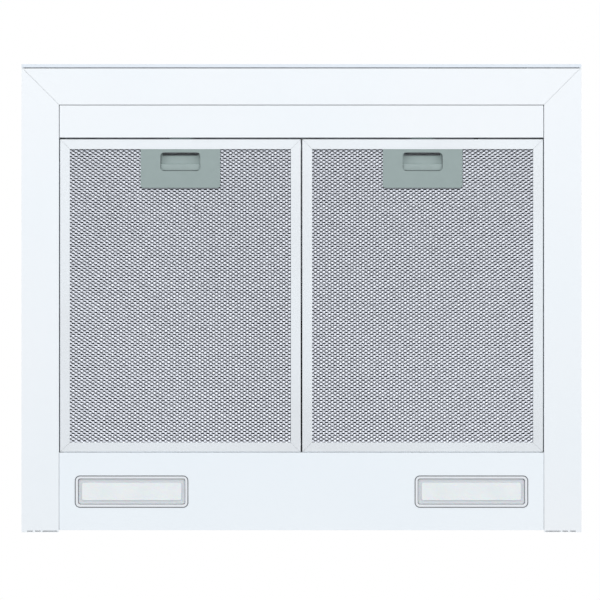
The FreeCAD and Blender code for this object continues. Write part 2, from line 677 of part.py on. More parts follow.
def lamp_bezel(label, side):
    """A round-cornered ring with a flange that rests on the panel's inner face."""
    body = piece(label)
    base = PANEL_Z + T + 0.1
    flange = base + 0.8
    pad(body, "z", FLOOR + 0.5, base, lamp_outline(side, 0))
    pad(body, "z", base, flange, lamp_outline(side, 3))
    pad(body, "z", flange, FLOOR + 8, lamp_outline(side, -1))
    ring = D["lamp_ring"]
    half_x, half_y = D["lamp_length"] / 2 - ring, D["lamp_width"] / 2 - ring
    cut(body, "z", FLOOR - 1, FLOOR + 9, middled(side * D["lamp_x"], LAMP_Y, half_x, half_y, 2.4))


def lamp_lens(label, side):
    """The frosted cover: a shoulder inside the bezel and a raised middle."""
    body = piece(label)
    x, y = side * D["lamp_x"], LAMP_Y
    gap = D["lamp_ring"] + 0.5
    shoulder = FLOOR + 2.8
    half_x, half_y = D["lamp_length"] / 2 - gap, D["lamp_width"] / 2 - gap
    pad(body, "z", shoulder, shoulder + 1.4, middled(x, y, half_x, half_y, 2.2))
    pad(body, "z", shoulder - 1.2, shoulder, middled(x, y, D["lens_length"] / 2, D["lens_width"] / 2, 2))


def lamp_board(label, side):
    """The circuit board with its row of emitters."""
    body = piece(label)
    x, y = side * D["lamp_x"], LAMP_Y
    count, pitch, half = 8, 13, 1.75
    low = FLOOR + 9.2
    pad(body, "z", low, low + 1.2, middled(x, y, 52, 9))
    pad(body, "z", low - 0.8, low, *[
        middled(x + pitch * (i - (count - 1) / 2), y, half, half) for i in range(count)])


def lamp_housing(label, side):
    """The cup over the lamp, with two posts that hold the board down."""
    body = piece(label)
    x, y = side * D["lamp_x"], LAMP_Y
    half_x, half_y = D["lamp_length"] / 2 + 2.5, D["lamp_width"] / 2 + 2.5
    wall = 1.4
    base = PANEL_Z + T + 1
    top = FLOOR + D["lamp_tall"]
    pad(body, "z", base, top, middled(x, y, half_x, half_y, 5))
    cut(body, "z", base - 1, top - wall, middled(x, y, half_x - wall, half_y - wall, 3.6))
    pad(body, "z", FLOOR + 10.5, top - 1, *[middled(x + way * 40, y, 3, 3) for way in (-1, 1)])


# ---------------------------------------------------------------- blower

HOUSING_TOP = -T - 0.2
LUG = 5
SCREW_BITE = D["screw_radius"] + 0.05
SCROLL_END = -D["plenum_half"] - 0.3


def scroll_face(grow):
    """The plan of the scroll as a face: three tangent arcs of growing radius, then a straight outlet."""
    start, step = D["scroll_start"].value, D["scroll_growth"].value
    cx, cy = D["blower_x"].value, D["blower_y"].value
    end_x = SCROLL_END.value
    tongue = math.radians(D["tongue_angle"].value)
    arcs = [
        (cx, cy, start, tongue, -math.pi / 2),
        (cx, cy + step, start + step, -math.pi / 2, -math.pi),
        (cx + step, cy + step, start + 2 * step, -math.pi, -1.5 * math.pi),
    ]

    def point(x, y, radius, turn):
        return FreeCAD.Vector(x + radius * math.cos(turn), y + radius * math.sin(turn), 0)

    low = point(*arcs[0][:4])
    edges = [Part.LineSegment(FreeCAD.Vector(end_x, low.y, 0), low).toShape()]
    for x, y, radius, begin, end in arcs:
        stops = [point(x, y, radius, turn) for turn in (begin, (begin + end) / 2, end)]
        edges.append(Part.Arc(*stops).toShape())
    high = point(*arcs[2][:3], arcs[2][4])
    edges.append(Part.LineSegment(high, FreeCAD.Vector(end_x, high.y, 0)).toShape())
    mouth = [FreeCAD.Vector(end_x, y, 0) for y in (high.y, low.y)]
    edges.append(Part.LineSegment(*mouth).toShape())
    wire = Part.Wire(edges)
    if grow:
        wire = wire.makeOffset2D(grow)
    return Part.Face(wire)


def upright(face, low, high):
    solid = face.extrude(FreeCAD.Vector(0, 0, high - low))
    solid.translate(FreeCAD.Vector(0, 0, low))
    return solid


def post(place, radius, low, high):
    x, y = place
    return Part.makeCylinder(radius, high - low, FreeCAD.Vector(x.value, y.value, low))


MOTOR_STUDS = ring_places(56, (90, 210, 330))
GUARD_STUDS = ring_places(74, (60, 150, 240, 330))
PLATE_LUGS = [(79.4, -45.9), (-26.1, -88.3), (-97, 37.4), (10, 118.7)]


def past_outlet():
    """A block over everything beyond the mouth of the scroll."""
    return Part.makeBox(60, 400, 300, FreeCAD.Vector(SCROLL_END.value, -200, -150))


def blower_housing():
    """The scroll: a top plate with ears, and a wall that winds round the impeller."""
    wall, top = D["blower_wall"].value, HOUSING_TOP.value
    low = D["blower_floor"].value + wall + 0.1
    outer, inner = scroll_face(wall), scroll_face(0)
    shape = upright(outer, low, top).cut(upright(inner, low - 1, top - wall))
    for place in BLOWER_EARS:
        x, y = place
        shape = shape.fuse(post(place, 8, top - wall, top))
        inward = FreeCAD.Vector(D["blower_x"].value - x.value, D["blower_y"].value - y.value, 0).normalize()
        web = Part.makeBox(30, 16, wall, FreeCAD.Vector(0, -8, top - wall))
        web.Placement = FreeCAD.Placement(
            FreeCAD.Vector(x.value, y.value, 0), FreeCAD.Rotation(FreeCAD.Vector(1, 0, 0), inward))
        shape = shape.fuse(web)
    shape = shape.cut(past_outlet())
    for place in BLOWER_EARS + in_blower(MOTOR_STUDS):
        shape = shape.cut(post(place, D["screw_hole"].value, top - wall - 1, top + 1))
    inside = upright(inner, low - 1, top - wall)
    for place in in_blower(PLATE_LUGS):
        shape = shape.fuse(post(place, LUG, low, low + 18).cut(inside))
        shape = shape.cut(post(place, SCREW_BITE.value, low - 1, low + 15))
    made("blower_housing", shape.removeSplitter())


def inlet_plate():
    """The bottom of the scroll, with its bell mouth."""
    wall = D["blower_wall"].value
    low = D["blower_floor"].value
    radius = D["inlet_radius"].value
    centre = FreeCAD.Vector(D["blower_x"].value, D["blower_y"].value, low)
    shape = upright(scroll_face(wall), low, low + wall).cut(past_outlet())
    mouth = Part.makeCylinder(radius + 2, 9, centre)
    shape = shape.fuse(mouth).cut(Part.makeCylinder(radius, 40, centre - FreeCAD.Vector(0, 0, 5)))
    for place in in_blower(PLATE_LUGS):
        shape = shape.fuse(post(place, LUG, low, low + wall))
        shape = shape.cut(post(place, D["screw_hole"].value, low - 1, low + wall + 1))
    for place in in_blower(GUARD_STUDS):
        shape = shape.fuse(post(place, 4, low, low + 7.5))
        shape = shape.cut(post(place, SCREW_BITE.value, low - 1, low + 8))
    made("inlet_plate", shape.removeSplitter())


def inlet_guard():
    """Concentric rings on spokes that keep fingers out of the impeller."""
    body = piece("inlet_guard", (D["blower_x"], D["blower_y"], 0))
    top = D["blower_floor"] - 0.2
    pad(body, "z", top - 1.6, top, circle(0, 0, 66), circle(0, 0, 62.5))
    for radius in (13, 23, 33, 43, 53):
        pad(body, "z", top - 3, top - 0.8, circle(0, 0, radius + 0.9), circle(0, 0, radius - 0.9))
    spoke = pad(body, "z", top - 2.4, top - 0.4, rect(12.5, -1.2, 64, 1.2))
    polar(body, spoke, 6)
    for place in GUARD_STUDS:
        turn = math.atan2(place[1], place[0])
        along, across = (math.cos(turn), math.sin(turn)), (-math.sin(turn), math.cos(turn))
        ear = [
            (round(a * along[0] + b * across[0], 4), round(a * along[1] + b * across[1], 4))
            for a, b in ((65, -5), (79, -5), (79, 5), (65, 5))
        ]
        pad(body, "z", top - 1.6, top, poly(ear))
    cut(body, "z", top - 4, top + 1, *[circle(x, y, D["screw_hole"]) for x, y in GUARD_STUDS])


IMPELLER_TOP = -14.5
IMPELLER_FLOOR = -86


def impeller():
    """A forward-curved fan wheel with a deep cup that clears the motor."""
    body = piece("impeller", (D["blower_x"], D["blower_y"], 0))
    edge, cup = D["impeller_radius"], D["motor_radius"] + 4
    top, cup_floor = IMPELLER_TOP, -68
    bore = D["shaft_radius"] + 0.02
    hub = 10
    revolve(body, [
        (edge, top), (edge, top - 1.6), (cup + 1.5, top - 1.6), (cup + 1.5, cup_floor),
        (cup - 5, cup_floor - 5), (hub, cup_floor - 5), (hub, cup_floor - 8), (bore, cup_floor - 8),
        (bore, cup_floor + 1), (hub, cup_floor + 1), (hub, cup_floor - 3.4), (cup - 5.6, cup_floor - 3.4),
        (cup, cup_floor + 0.6), (cup, top)])
    inner = D["blade_inner"]
    depth = edge - inner
    blade = pad(body, "z", IMPELLER_FLOOR, top - 1, poly([
        (inner, 0), (inner + depth * 0.3, -3.2), (inner + depth * 0.65, -5.2), (edge - 0.3, -5.4),
        (edge - 0.3, -6.8), (inner + depth * 0.6, -6.4), (inner + depth * 0.22, -4.1), (inner, -1.5)]))
    polar(body, blade, D["blade_count"])
    pad(body, "z", IMPELLER_FLOOR - 0.2, IMPELLER_FLOOR + 2, circle(0, 0, edge), circle(0, 0, inner + 4))


def fan_motor():
    """The closed motor, with a bearing boss at each end."""
    body = piece("fan_motor", (D["blower_x"], D["blower_y"], 0))
    bore = D["shaft_radius"] + D["running_gap"]
    radius, top = D["motor_radius"] - 2, D["motor_top"] - 0.1
    low = top - D["motor_tall"]
    boss, rib = 10, radius + 1.5
    revolve(body, [
        (bore, top + 6), (boss, top + 6), (boss, top), (radius, top), (radius, top - 14), (rib, top - 14),
        (rib, top - 17), (radius, top - 17), (radius, low + 5), (radius - 5, low), (boss + 2, low),
        (boss + 2, low - 3), (bore, low - 3)])


def motor_shaft():
    body = piece("motor_shaft", (D["blower_x"], D["blower_y"], 0))
    pad(body, "z", -82, -7, circle(0, 0, D["shaft_radius"]))


def impeller_nut():
    body = piece("impeller_nut", (D["blower_x"], D["blower_y"], 0))
    pad(body, "z", -81, -76.1, poly(ring_places(7, HEXAGON)))
    cut(body, "z", -82, -75, circle(0, 0, D["shaft_radius"] + 0.02))


def motor_bracket():
    """Three arms that hang the motor from the rubber bushes."""
    body = piece("motor_bracket", (D["blower_x"], D["blower_y"], 0))
    low = D["motor_top"]
    pad(body, "z", low, low + 2, circle(0, 0, 36), circle(0, 0, 10.5))
    arm = pad(body, "z", low, low + 2, rounded(-9, 33, 9, 64, 5))
    polar(body, arm, 3)
    cut(body, "z", low - 1, low + 3, *[circle(x, y, D["screw_hole"]) for x, y in MOTOR_STUDS])


def motor_bushes():
    body = piece("motor_bushes", (D["blower_x"], D["blower_y"], 0))
    low, high = D["motor_top"] + 2.05, HOUSING_TOP - D["blower_wall"] - 0.05
    pad(body, "z", low, high, *[circle(x, y, 6) for x, y in MOTOR_STUDS])
    cut(body, "z", low - 1, high + 1, *[circle(x, y, D["screw_hole"]) for x, y in MOTOR_STUDS])


# ---------------------------------------------------------------- discharge and duct

def discharge_box():
    """The box that turns the air from the scroll up into the duct."""
    body = piece("discharge_box")
    half_x, half_y, wall = D["plenum_half"], D["plenum_half_y"], 1.5
    low, top = D["blower_floor"], HOUSING_TOP
    pad(body, "z", low, top, middled(0, 0, half_x, half_y))
    cut(body, "z", low + wall, top + 1, middled(0, 0, half_x - wall, half_y - wall))
    tongue = round(math.sin(math.radians(D["tongue_angle"].value)), 6)
    mouth_low = D["blower_y"] + D["scroll_start"] * tongue
    mouth_high = D["blower_y"] + D["scroll_start"] + D["scroll_growth"] * 3
    cut(body, "x", -half_x - 1, -half_x + wall + 1, rect(
        mouth_low, low + D["blower_wall"], mouth_high, HOUSING_TOP - D["blower_wall"]))


def collar_gasket():
    body = piece("collar_gasket")
    outer, inner = circle(0, 0, D["collar_flange"]), circle(0, 0, D["duct_radius"] + 0.5)
    pad(body, "z", 0, D["gasket_thick"], outer, inner)
    cut(body, "z", -1, 3, *[circle(x, y, D["screw_hole"]) for x, y in COLLAR_PLACES])


def duct_collar():
    """The round spigot that the duct slides over, with the ledge that the closed flaps rest on."""
    body = piece("duct_collar")
    base, rim = D["gasket_thick"], D["collar_flange"]
    outer, inner = D["duct_radius"], D["duct_radius"] - D["collar_wall"]
    flap, ledge = D["flap_z"], inner - 2.6
    revolve(body, [
        (inner, base), (rim, base), (rim, base + 1.2), (outer, base + 1.2), (outer, D["collar_tall"]),
        (inner, D["collar_tall"]), (inner, flap - 0.8), (ledge, flap - 0.8), (ledge, flap - 2),
        (inner, flap - 2)])
    cut(body, "z", base - 1, base + 3, *[circle(x, y, D["screw_hole"]) for x, y in COLLAR_PLACES])
    notches = [rect(*corners(side * (inner - 4), -5, side * (inner - 0.2), 5)) for side in (-1, 1)]
    cut(body, "z", flap - 3, flap, *notches)
    cut(body, "x", -outer - 1, outer + 1, circle(0, flap, D["pin_radius"]))


def damper_pin():
    body = piece("damper_pin")
    half = D["duct_radius"] - 0.2
    pad(body, "x", -half, half, circle(0, D["flap_z"], D["pin_radius"]))


def damper_flap(label, side, spans):
    """Half a disc with hinge knuckles that share the pin with the other half."""
    body = piece(label)
    z = D["flap_z"]
    radius = D["duct_radius"] - D["collar_wall"] - 0.9
    pad(body, "z", z - 0.5, z + 0.5, circle(0, 0, radius))
    rest = corners(-70, -side * 70, 70, side * 3.4)
    cut(body, "z", z - 1, z + 1, rect(*rest))
    for a, b in spans:
        pad(body, "z", z - 0.5, z + 0.5, rect(*corners(a, side * 1.9, b, side * 4)))
        pad(body, "x", a, b, circle(0, z, D["knuckle_radius"]))
    cut(body, "x", -60, 60, circle(0, z, D["pin_radius"] + 0.08))


# ---------------------------------------------------------------- controls

BUTTONS = ("off_button", "low_button", "medium_button", "high_button", "light_button")
STEM_HALF = 2.7


def button_x(index):
    return D["control_x"] + D["button_pitch"] * (index - 2)


def windows(gap):
    half_x, half_z = D["button_width"] / 2 + gap, D["button_tall"] / 2 + gap
    return [middled(button_x(i), CONTROL_Z, half_x, half_z, 1.2) for i in range(len(BUTTONS))]


def button_bezel():
    body = piece("button_bezel")
    x, half_x, half_z = D["control_x"], CONTROL_HALF + 2, 10
    pad(body, "y", FRONT, FRONT + 4.2, middled(x, CONTROL_Z, half_x, half_z, 2))
    pad(body, "y", FRONT + T + 0.1, FRONT + T + 1.2, middled(x, CONTROL_Z, half_x + 3, half_z + 3, 3))
    cut(body, "y", FRONT - 1, FRONT + 5, *windows(D["button_gap"]))


def button(label, index):
    """A push button: a dished head and the stem that works the switch."""
    body = piece(label)
    half_x, half_z = D["button_width"] / 2, D["button_tall"] / 2
    x = button_x(index)
    face = FRONT + 0.3
    rim = 1.6
    pad(body, "y", face, face + 7.5, middled(x, CONTROL_Z, half_x, half_z, 0.9))
    pad(body, "y", face + 7.5, face + 20, middled(x, CONTROL_Z, STEM_HALF, STEM_HALF))
    cut(body, "y", face - 1, face + 0.4, middled(x, CONTROL_Z, half_x - rim, half_z - rim, 0.7))


SWITCH_FRONT = WALL_FRONT + T + 0.1


def switch_block():
    """The switch body behind the front wall, open where the buttons run in it."""
    body = piece("switch_block")
    x, half = D["control_x"], CONTROL_HALF + 2.5
    front = SWITCH_FRONT
    pad(body, "y", front, front + 24, middled(x, CONTROL_Z, half, 10))
    pad(body, "y", front, front + 1.6, middled(x, CONTROL_Z, half + 10, 8))
    cut(body, "y", front - 1, front + 6, *windows(D["button_gap"]))
    stem = STEM_HALF + 0.3
    middles = [button_x(i) for i in range(len(BUTTONS))]
    cut(body, "y", front + 5, front + 20, *[middled(m, CONTROL_Z, stem, stem) for m in middles])
    pad(body, "y", front + 23.5, front + 30, *[middled(m, CONTROL_Z, 3, 0.4) for m in middles])


# ---------------------------------------------------------------- electrics

def electrics_box():
    body = piece("electrics_box")
    wall = 1.2
    low, top = -D["box_deep"], HOUSING_TOP
    left, right, front, back = D["box_left"], D["box_right"], D["box_front"], D["box_back"]
    pad(body, "z", low, top, rect(left, front, right, back))
    cut(body, "z", low - 1, top - wall, rect(left + wall, front + wall, right - wall, back - wall))
    cut(body, "z", top - wall - 1, top + 1, circle(D["gland_x"], D["gland_y"], D["gland_hole"]),
        *[circle(x, y, D["screw_hole"]) for x, y in BOX_SCREWS])


def electrics_cover():
    body = piece("electrics_cover")
    left, right, front, back = D["box_left"], D["box_right"], D["box_front"], D["box_back"]
    low = -D["box_deep"] - 0.1
    pad(body, "z", low - 1.2, low, rounded(left - 2, front - 2, right + 2, back + 2, 3))
    pad(body, "z", low, low + 6, rect(left + 1.5, front + 1.5, right - 1.5, back - 1.5))
    cut(body, "z", low, low + 7, rect(left + 2.7, front + 2.7, right - 2.7, back - 2.7))


def terminal_block():
    """Three screw terminals in one moulding."""
    body = piece("terminal_block")
    x, y = D["box_left"] + 30, D["box_back"] - 34
    top = HOUSING_TOP - 1.3
    pad(body, "z", top - 14, top, middled(x, y, 16, 9))
    wells = [(x + 10 * i, y + 4 * way) for i in (-1, 0, 1) for way in (-1, 1)]
    cut(body, "z", top - 15, top - 4, *[circle(u, v, 2.2) for u, v in wells])


def run_capacitor():
    body = piece("run_capacitor")
    top = HOUSING_TOP - 1.4
    z = top - 15
    front = D["box_front"] + 20
    pad(body, "y", front, front + 62, circle(D["box_right"] - 34, z, 14.5))
    pad(body, "y", front + 62, front + 66, circle(D["box_right"] - 34, z, 9))


def led_driver():
    body = piece("led_driver")
    x, y = D["box_left"] + 48, D["box_front"] + 46
    top = HOUSING_TOP - 1.3
    pad(body, "z", top - 22, top, middled(x, y, 34, 20, 3))
    pad(body, "z", top - 5, top, middled(x, y, 42, 8))


def cable_gland():
    """The bushing that the supply cord enters by: a clamping neck over a wider throat."""
    body = piece("cable_gland")
    x, y = D["gland_x"], D["gland_y"]
    low, top = dim(-14), dim(12)
    head = [(x + a, y + b) for a, b in ring_places(12, HEXAGON)]
    nut = [(x + a, y + b) for a, b in ring_places(11, HEXAGON)]
    pad(body, "z", low, top, circle(x, y, D["gland_hole"] - 0.3))
    pad(body, "z", 0.1, 5, poly(head))
    pad(body, "z", HOUSING_TOP - 6, HOUSING_TOP - 1.3, poly(nut))
    cut(body, "z", low - 1, top + 1, circle(x, y, D["gland_bore"]))
    cut(body, "z", low - 1, D["gland_throat_top"], circle(x, y, D["gland_bore"] + 0.8))


def route(points, radius):
    """A round lead along straight runs joined by tangent arcs as large as the runs allow."""
    at = [FreeCAD.Vector(*(dim(c).value for c in p)) for p in points]
    edges, here = [], at[0]
    for before, corner, after in zip(at, at[1:], at[2:]):
        into, out = (before - corner), (after - corner)
        reach = 0.42 * min(into.Length, out.Length)
        into.normalize()
        out.normalize()
        first, last = corner + into * reach, corner + out * reach
        half = into.getAngle(out) / 2
        bend = reach * math.tan(half)
        middle_way = (into + out).normalize()
        middle = corner + middle_way * (reach / math.cos(half) - bend)
        edges.append(Part.LineSegment(here, first).toShape())
        edges.append(Part.Arc(first, middle, last).toShape())
        print(f"lead bend radius {bend:.0f} mm")
        here = last
    edges.append(Part.LineSegment(here, at[-1]).toShape())
    spine = Part.Wire(edges)
    section = Part.Wire([Part.Circle(at[0], at[1] - at[0], radius).toShape()])
    return spine.makePipeShell([section], True, False)


def wiring():
    """The leads from the electrics box to the switches, the motor and the two lamps."""
    x, lamp = D["control_x"], D["lamp_x"]
    left, back, front = D["box_left"], D["box_back"], D["box_front"]
    lamp_top = FLOOR + D["lamp_tall"] + 1.6
    behind = D["plenum_half_y"] + 20
    runs = [
        [(x, front - 1.2, -36), (x, front - 60, -52), (x, front - 140, -92),
         (x, SWITCH_FRONT + 31, CONTROL_Z)],
        [(left - 1.6, back - 12, -30), (left - 16, back, -30), (left - 24, behind, -30),
         (left - 80, behind + 6, -30), (left - 150, behind + 4, -30), (left - 210, behind + 5, -30),
         (left - 244, behind - 4, -30), (left - 250, 56, -30)],
        [(left + 40, back + 1.6, -32), (left + 44, back + 22, -40), (lamp - 12, LAMP_Y - 8, -80),
         (lamp, LAMP_Y, lamp_top)],
        [(left + 24, back + 1.6, -32), (left + 10, back + 40, -36), (left - 60, back + 62, -36),
         (left - 140, back + 58, -36), (left - 210, back + 60, -36), (-lamp + 22, LAMP_Y, -48),
         (-lamp, LAMP_Y, lamp_top)],
    ]
    made("wiring", Part.makeCompound([route(points, 2.2) for points in runs]))


# ---------------------------------------------------------------- fasteners

def pan_head_screws():
    """Every M3 pan-head screw: panels, rear cover, blower, motor, inlet, guard and collar."""
    body = piece("pan_head_screws")
    screws(body, "y", HEM_Y + T, HEM_Y - T - 3, HEM_SCREWS)
    screws(body, "y", BACK_FACE, BACK_FACE - 6.7, OUTLET_SCREWS)
    for half, place in zip((CROSS_HALF, LAMP_HALF), FLANGE_SCREWS):
        for side in (-1, 1):
            screws(body, "x", side * (half - T), side * (RAIL_IN + T + 3), [place])
    screws(body, "z", HOUSING_TOP - D["blower_wall"], 0, BLOWER_EARS)
    screws(body, "z", D["motor_top"], HOUSING_TOP, in_blower(MOTOR_STUDS))
    screws(body, "z", D["blower_floor"], D["blower_floor"] + 13, in_blower(PLATE_LUGS))
    screws(body, "z", D["blower_floor"] - 1.8, D["blower_floor"] + 6.5, in_blower(GUARD_STUDS))
    screws(body, "z", D["gasket_thick"] + 1.2, -T - 2, COLLAR_PLACES)


# ---------------------------------------------------------------- assembly

canopy_shell()
side_panel("left_side_panel", -1)
side_panel("right_side_panel", 1)
front_cross_rail()
lamp_panel()
back_panel()
rear_outlet_cover()
front_fascia()
mounting_rails()
for name, way in (("left", -1), ("right", 1)):
    filter_frame(f"{name}_filter_frame", way)
    filter_layers(way, (f"{name}_filter_mesh", f"{name}_filter_core"))
    latch_plate(f"{name}_latch_plate", way)
    latch_slider(f"{name}_latch_slider", way)
    latch_spring(f"{name}_latch_spring", way)
    lamp_bezel(f"{name}_lamp_bezel", way)
    lamp_lens(f"{name}_lamp_lens", way)
    lamp_board(f"{name}_lamp_board", way)
    lamp_housing(f"{name}_lamp_housing", way)
blower_housing()
inlet_plate()
inlet_guard()
impeller()
fan_motor()
motor_shaft()
impeller_nut()
motor_bracket()
motor_bushes()
discharge_box()
collar_gasket()
duct_collar()
damper_pin()
damper_flap("front_damper_flap", -1, ((-50, -30), (3, 23)))
damper_flap("rear_damper_flap", 1, ((-26, -4), (27, 50)))
button_bezel()
for number, name in enumerate(BUTTONS):
    button(name, number)
switch_block()
electrics_box()
electrics_cover()
terminal_block()
run_capacitor()
led_driver()
cable_gland()
wiring()
pan_head_screws()

doc.recompute()


def check_document():
    """Stops if a feature failed, a pocket removed nothing, or a sub-part has no sound shape."""
    for item in doc.Objects:
        if {"Invalid", "Error"} & set(item.State):
            raise SystemExit(f"{item.Label} ({item.Name}) failed: {item.State}")
        if item.TypeId == "PartDesign::Pocket":
            if item.Shape.Volume >= item.BaseFeature.Shape.Volume - 1e-6:
                raise SystemExit(f"{item.Name} in {item.getParentGeoFeatureGroup().Label} cuts nothing")
    for part in SUBPARTS:
        if part.Shape.isNull() or not part.Shape.isValid() or not part.Shape.Solids:
            raise SystemExit(f"{part.Label} has no sound shape")


check_document()
os.makedirs("parts", exist_ok=True)
for part in SUBPARTS:
    part.Shape.exportStep(os.path.join("parts", f"{part.Label}.step"))
print(f"{len(SUBPARTS)} sub-parts written")
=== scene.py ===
import json
import math

import bpy
from mathutils import Matrix, Vector

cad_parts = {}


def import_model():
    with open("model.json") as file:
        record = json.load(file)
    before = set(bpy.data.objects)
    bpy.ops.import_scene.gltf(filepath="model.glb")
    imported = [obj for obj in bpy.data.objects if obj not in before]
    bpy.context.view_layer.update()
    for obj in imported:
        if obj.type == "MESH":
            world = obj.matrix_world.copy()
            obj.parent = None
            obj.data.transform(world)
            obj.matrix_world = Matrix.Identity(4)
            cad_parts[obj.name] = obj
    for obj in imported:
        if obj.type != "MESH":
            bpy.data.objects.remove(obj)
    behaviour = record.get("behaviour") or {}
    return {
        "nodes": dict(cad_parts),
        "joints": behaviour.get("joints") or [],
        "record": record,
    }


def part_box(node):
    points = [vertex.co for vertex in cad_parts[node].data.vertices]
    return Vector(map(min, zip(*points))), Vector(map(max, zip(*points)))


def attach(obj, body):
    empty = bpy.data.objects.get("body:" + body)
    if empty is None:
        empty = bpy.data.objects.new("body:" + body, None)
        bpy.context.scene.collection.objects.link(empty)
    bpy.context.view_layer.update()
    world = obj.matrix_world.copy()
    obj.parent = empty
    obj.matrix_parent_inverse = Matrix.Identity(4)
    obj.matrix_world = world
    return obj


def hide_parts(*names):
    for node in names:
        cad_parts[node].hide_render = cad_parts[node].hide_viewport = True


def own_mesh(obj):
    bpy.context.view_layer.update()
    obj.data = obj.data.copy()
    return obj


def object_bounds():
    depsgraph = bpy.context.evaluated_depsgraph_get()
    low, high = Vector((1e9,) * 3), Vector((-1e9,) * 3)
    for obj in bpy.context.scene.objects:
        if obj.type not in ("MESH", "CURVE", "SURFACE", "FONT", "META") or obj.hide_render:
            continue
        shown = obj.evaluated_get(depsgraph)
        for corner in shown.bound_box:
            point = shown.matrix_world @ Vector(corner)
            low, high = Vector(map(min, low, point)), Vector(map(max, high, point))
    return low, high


# The looks of an under-cabinet range hood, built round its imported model.
# Metres, in the model's own frame: +X right, +Y to the wall, +Z up, underside at the bottom.

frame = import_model()
cad_low, cad_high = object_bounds()
nodes = frame["nodes"]

MM = 0.001
SIDES = ("left", "right")
BUTTONS = ("off_button", "low_button", "medium_button", "high_button", "light_button")
UNDERSIDE = cad_low.z


def linear(red, green, blue):
    """A colour given as 0-255 display values, as scene-linear numbers."""
    def channel(value):
        value /= 255
        return value / 12.92 if value <= 0.04045 else ((value + 0.055) / 1.055) ** 2.4
    return channel(red), channel(green), channel(blue)


# ---------------------------------------------------------------- stage

CAMERA_X, CAMERA_Y = -1.6 * MM, -88.1 * MM
CAMERA_DISTANCE = 2.2
VIEW_WIDTH = 0.6407
SENSOR = 36
FLOOR_Z = -3.2
PANEL_Z = 2.4


def add_camera():
    """Straight up at the underside, with the front edge of the hood at the top of the picture."""
    data = bpy.data.cameras.new("Camera")
    data.sensor_width = SENSOR
    data.lens = SENSOR * CAMERA_DISTANCE / VIEW_WIDTH
    data.clip_start = 0.05
    data.clip_end = 60
    camera = bpy.data.objects.new("Camera", data)
    camera.location = (CAMERA_X, CAMERA_Y, UNDERSIDE - CAMERA_DISTANCE)
    right, up, back = Vector((1, 0, 0)), Vector((0, -1, 0)), Vector((0, 0, -1))
    camera.rotation_mode = "QUATERNION"
    camera.rotation_quaternion = Matrix((right, up, back)).transposed().to_quaternion()
    bpy.context.scene.collection.objects.link(camera)
    bpy.context.scene.camera = camera


def flat_square(name, size, z):
    half = size / 2
    corners = [(-half, -half, z), (half, -half, z), (half, half, z), (-half, half, z)]
    mesh = bpy.data.meshes.new(name)
    mesh.from_pydata(corners, [], [(0, 1, 2, 3)])
    item = bpy.data.objects.new(name, mesh)
    bpy.context.scene.collection.objects.link(item)
    return item


def add_floor():
    floor = flat_square("floor", 60, FLOOR_Z)
    paint = bpy.data.materials.new("pale_floor")
    paint.use_nodes = True
    shader = paint.node_tree.nodes["Principled BSDF"]
    shader.inputs["Base Color"].default_value = (0.8, 0.81, 0.82, 1)
    shader.inputs["Roughness"].default_value = 0.9
    floor.data.materials.append(paint)


def add_overhead_panel():
    """A white lit panel above the hood: the background of the view from below."""
    panel = flat_square("overhead_panel", 3.2, PANEL_Z)
    paint = bpy.data.materials.new("lit_white")
    paint.use_nodes = True
    tree = paint.node_tree
    tree.nodes.clear()
    glow = tree.nodes.new("ShaderNodeEmission")
    glow.inputs["Color"].default_value = (1, 1, 1, 1)
    glow.inputs["Strength"].default_value = 1.0
    output = tree.nodes.new("ShaderNodeOutputMaterial")
    tree.links.new(glow.outputs["Emission"], output.inputs["Surface"])
    panel.data.materials.append(paint)


def add_softbox(name, place, aim, size, watts):
    data = bpy.data.lights.new(name, "AREA")
    data.shape = "SQUARE"
    data.size = size
    data.energy = watts
    item = bpy.data.objects.new(name, data)
    item.location = place
    item.rotation_mode = "QUATERNION"
    item.rotation_quaternion = (Vector(aim) - Vector(place)).to_track_quat("-Z", "Y")
    item.visible_camera = False
    bpy.context.scene.collection.objects.link(item)


def add_world():
    world = bpy.data.worlds.new("studio")
    world.use_nodes = True
    background = world.node_tree.nodes["Background"]
    background.inputs["Color"].default_value = (1, 1, 1, 1)
    background.inputs["Strength"].default_value = 0.64
    bpy.context.scene.world = world


def add_stage():
    bpy.context.scene.view_settings.view_transform = "Standard"
    middle = (0, -0.09, UNDERSIDE)
    add_world()
    add_floor()
    add_overhead_panel()
    add_softbox("front_softbox", (0, -2.1, -2.3), middle, 1.8, 27)
    add_softbox("left_softbox", (-2.2, -0.4, -2.0), middle, 1.4, 14)
    add_softbox("right_softbox", (2.2, -0.4, -2.0), middle, 1.4, 14)
    add_softbox("high_key", (-1.8, -2.2, 2.2), (0, 0, 0), 1.6, 24)


# ---------------------------------------------------------------- finishes

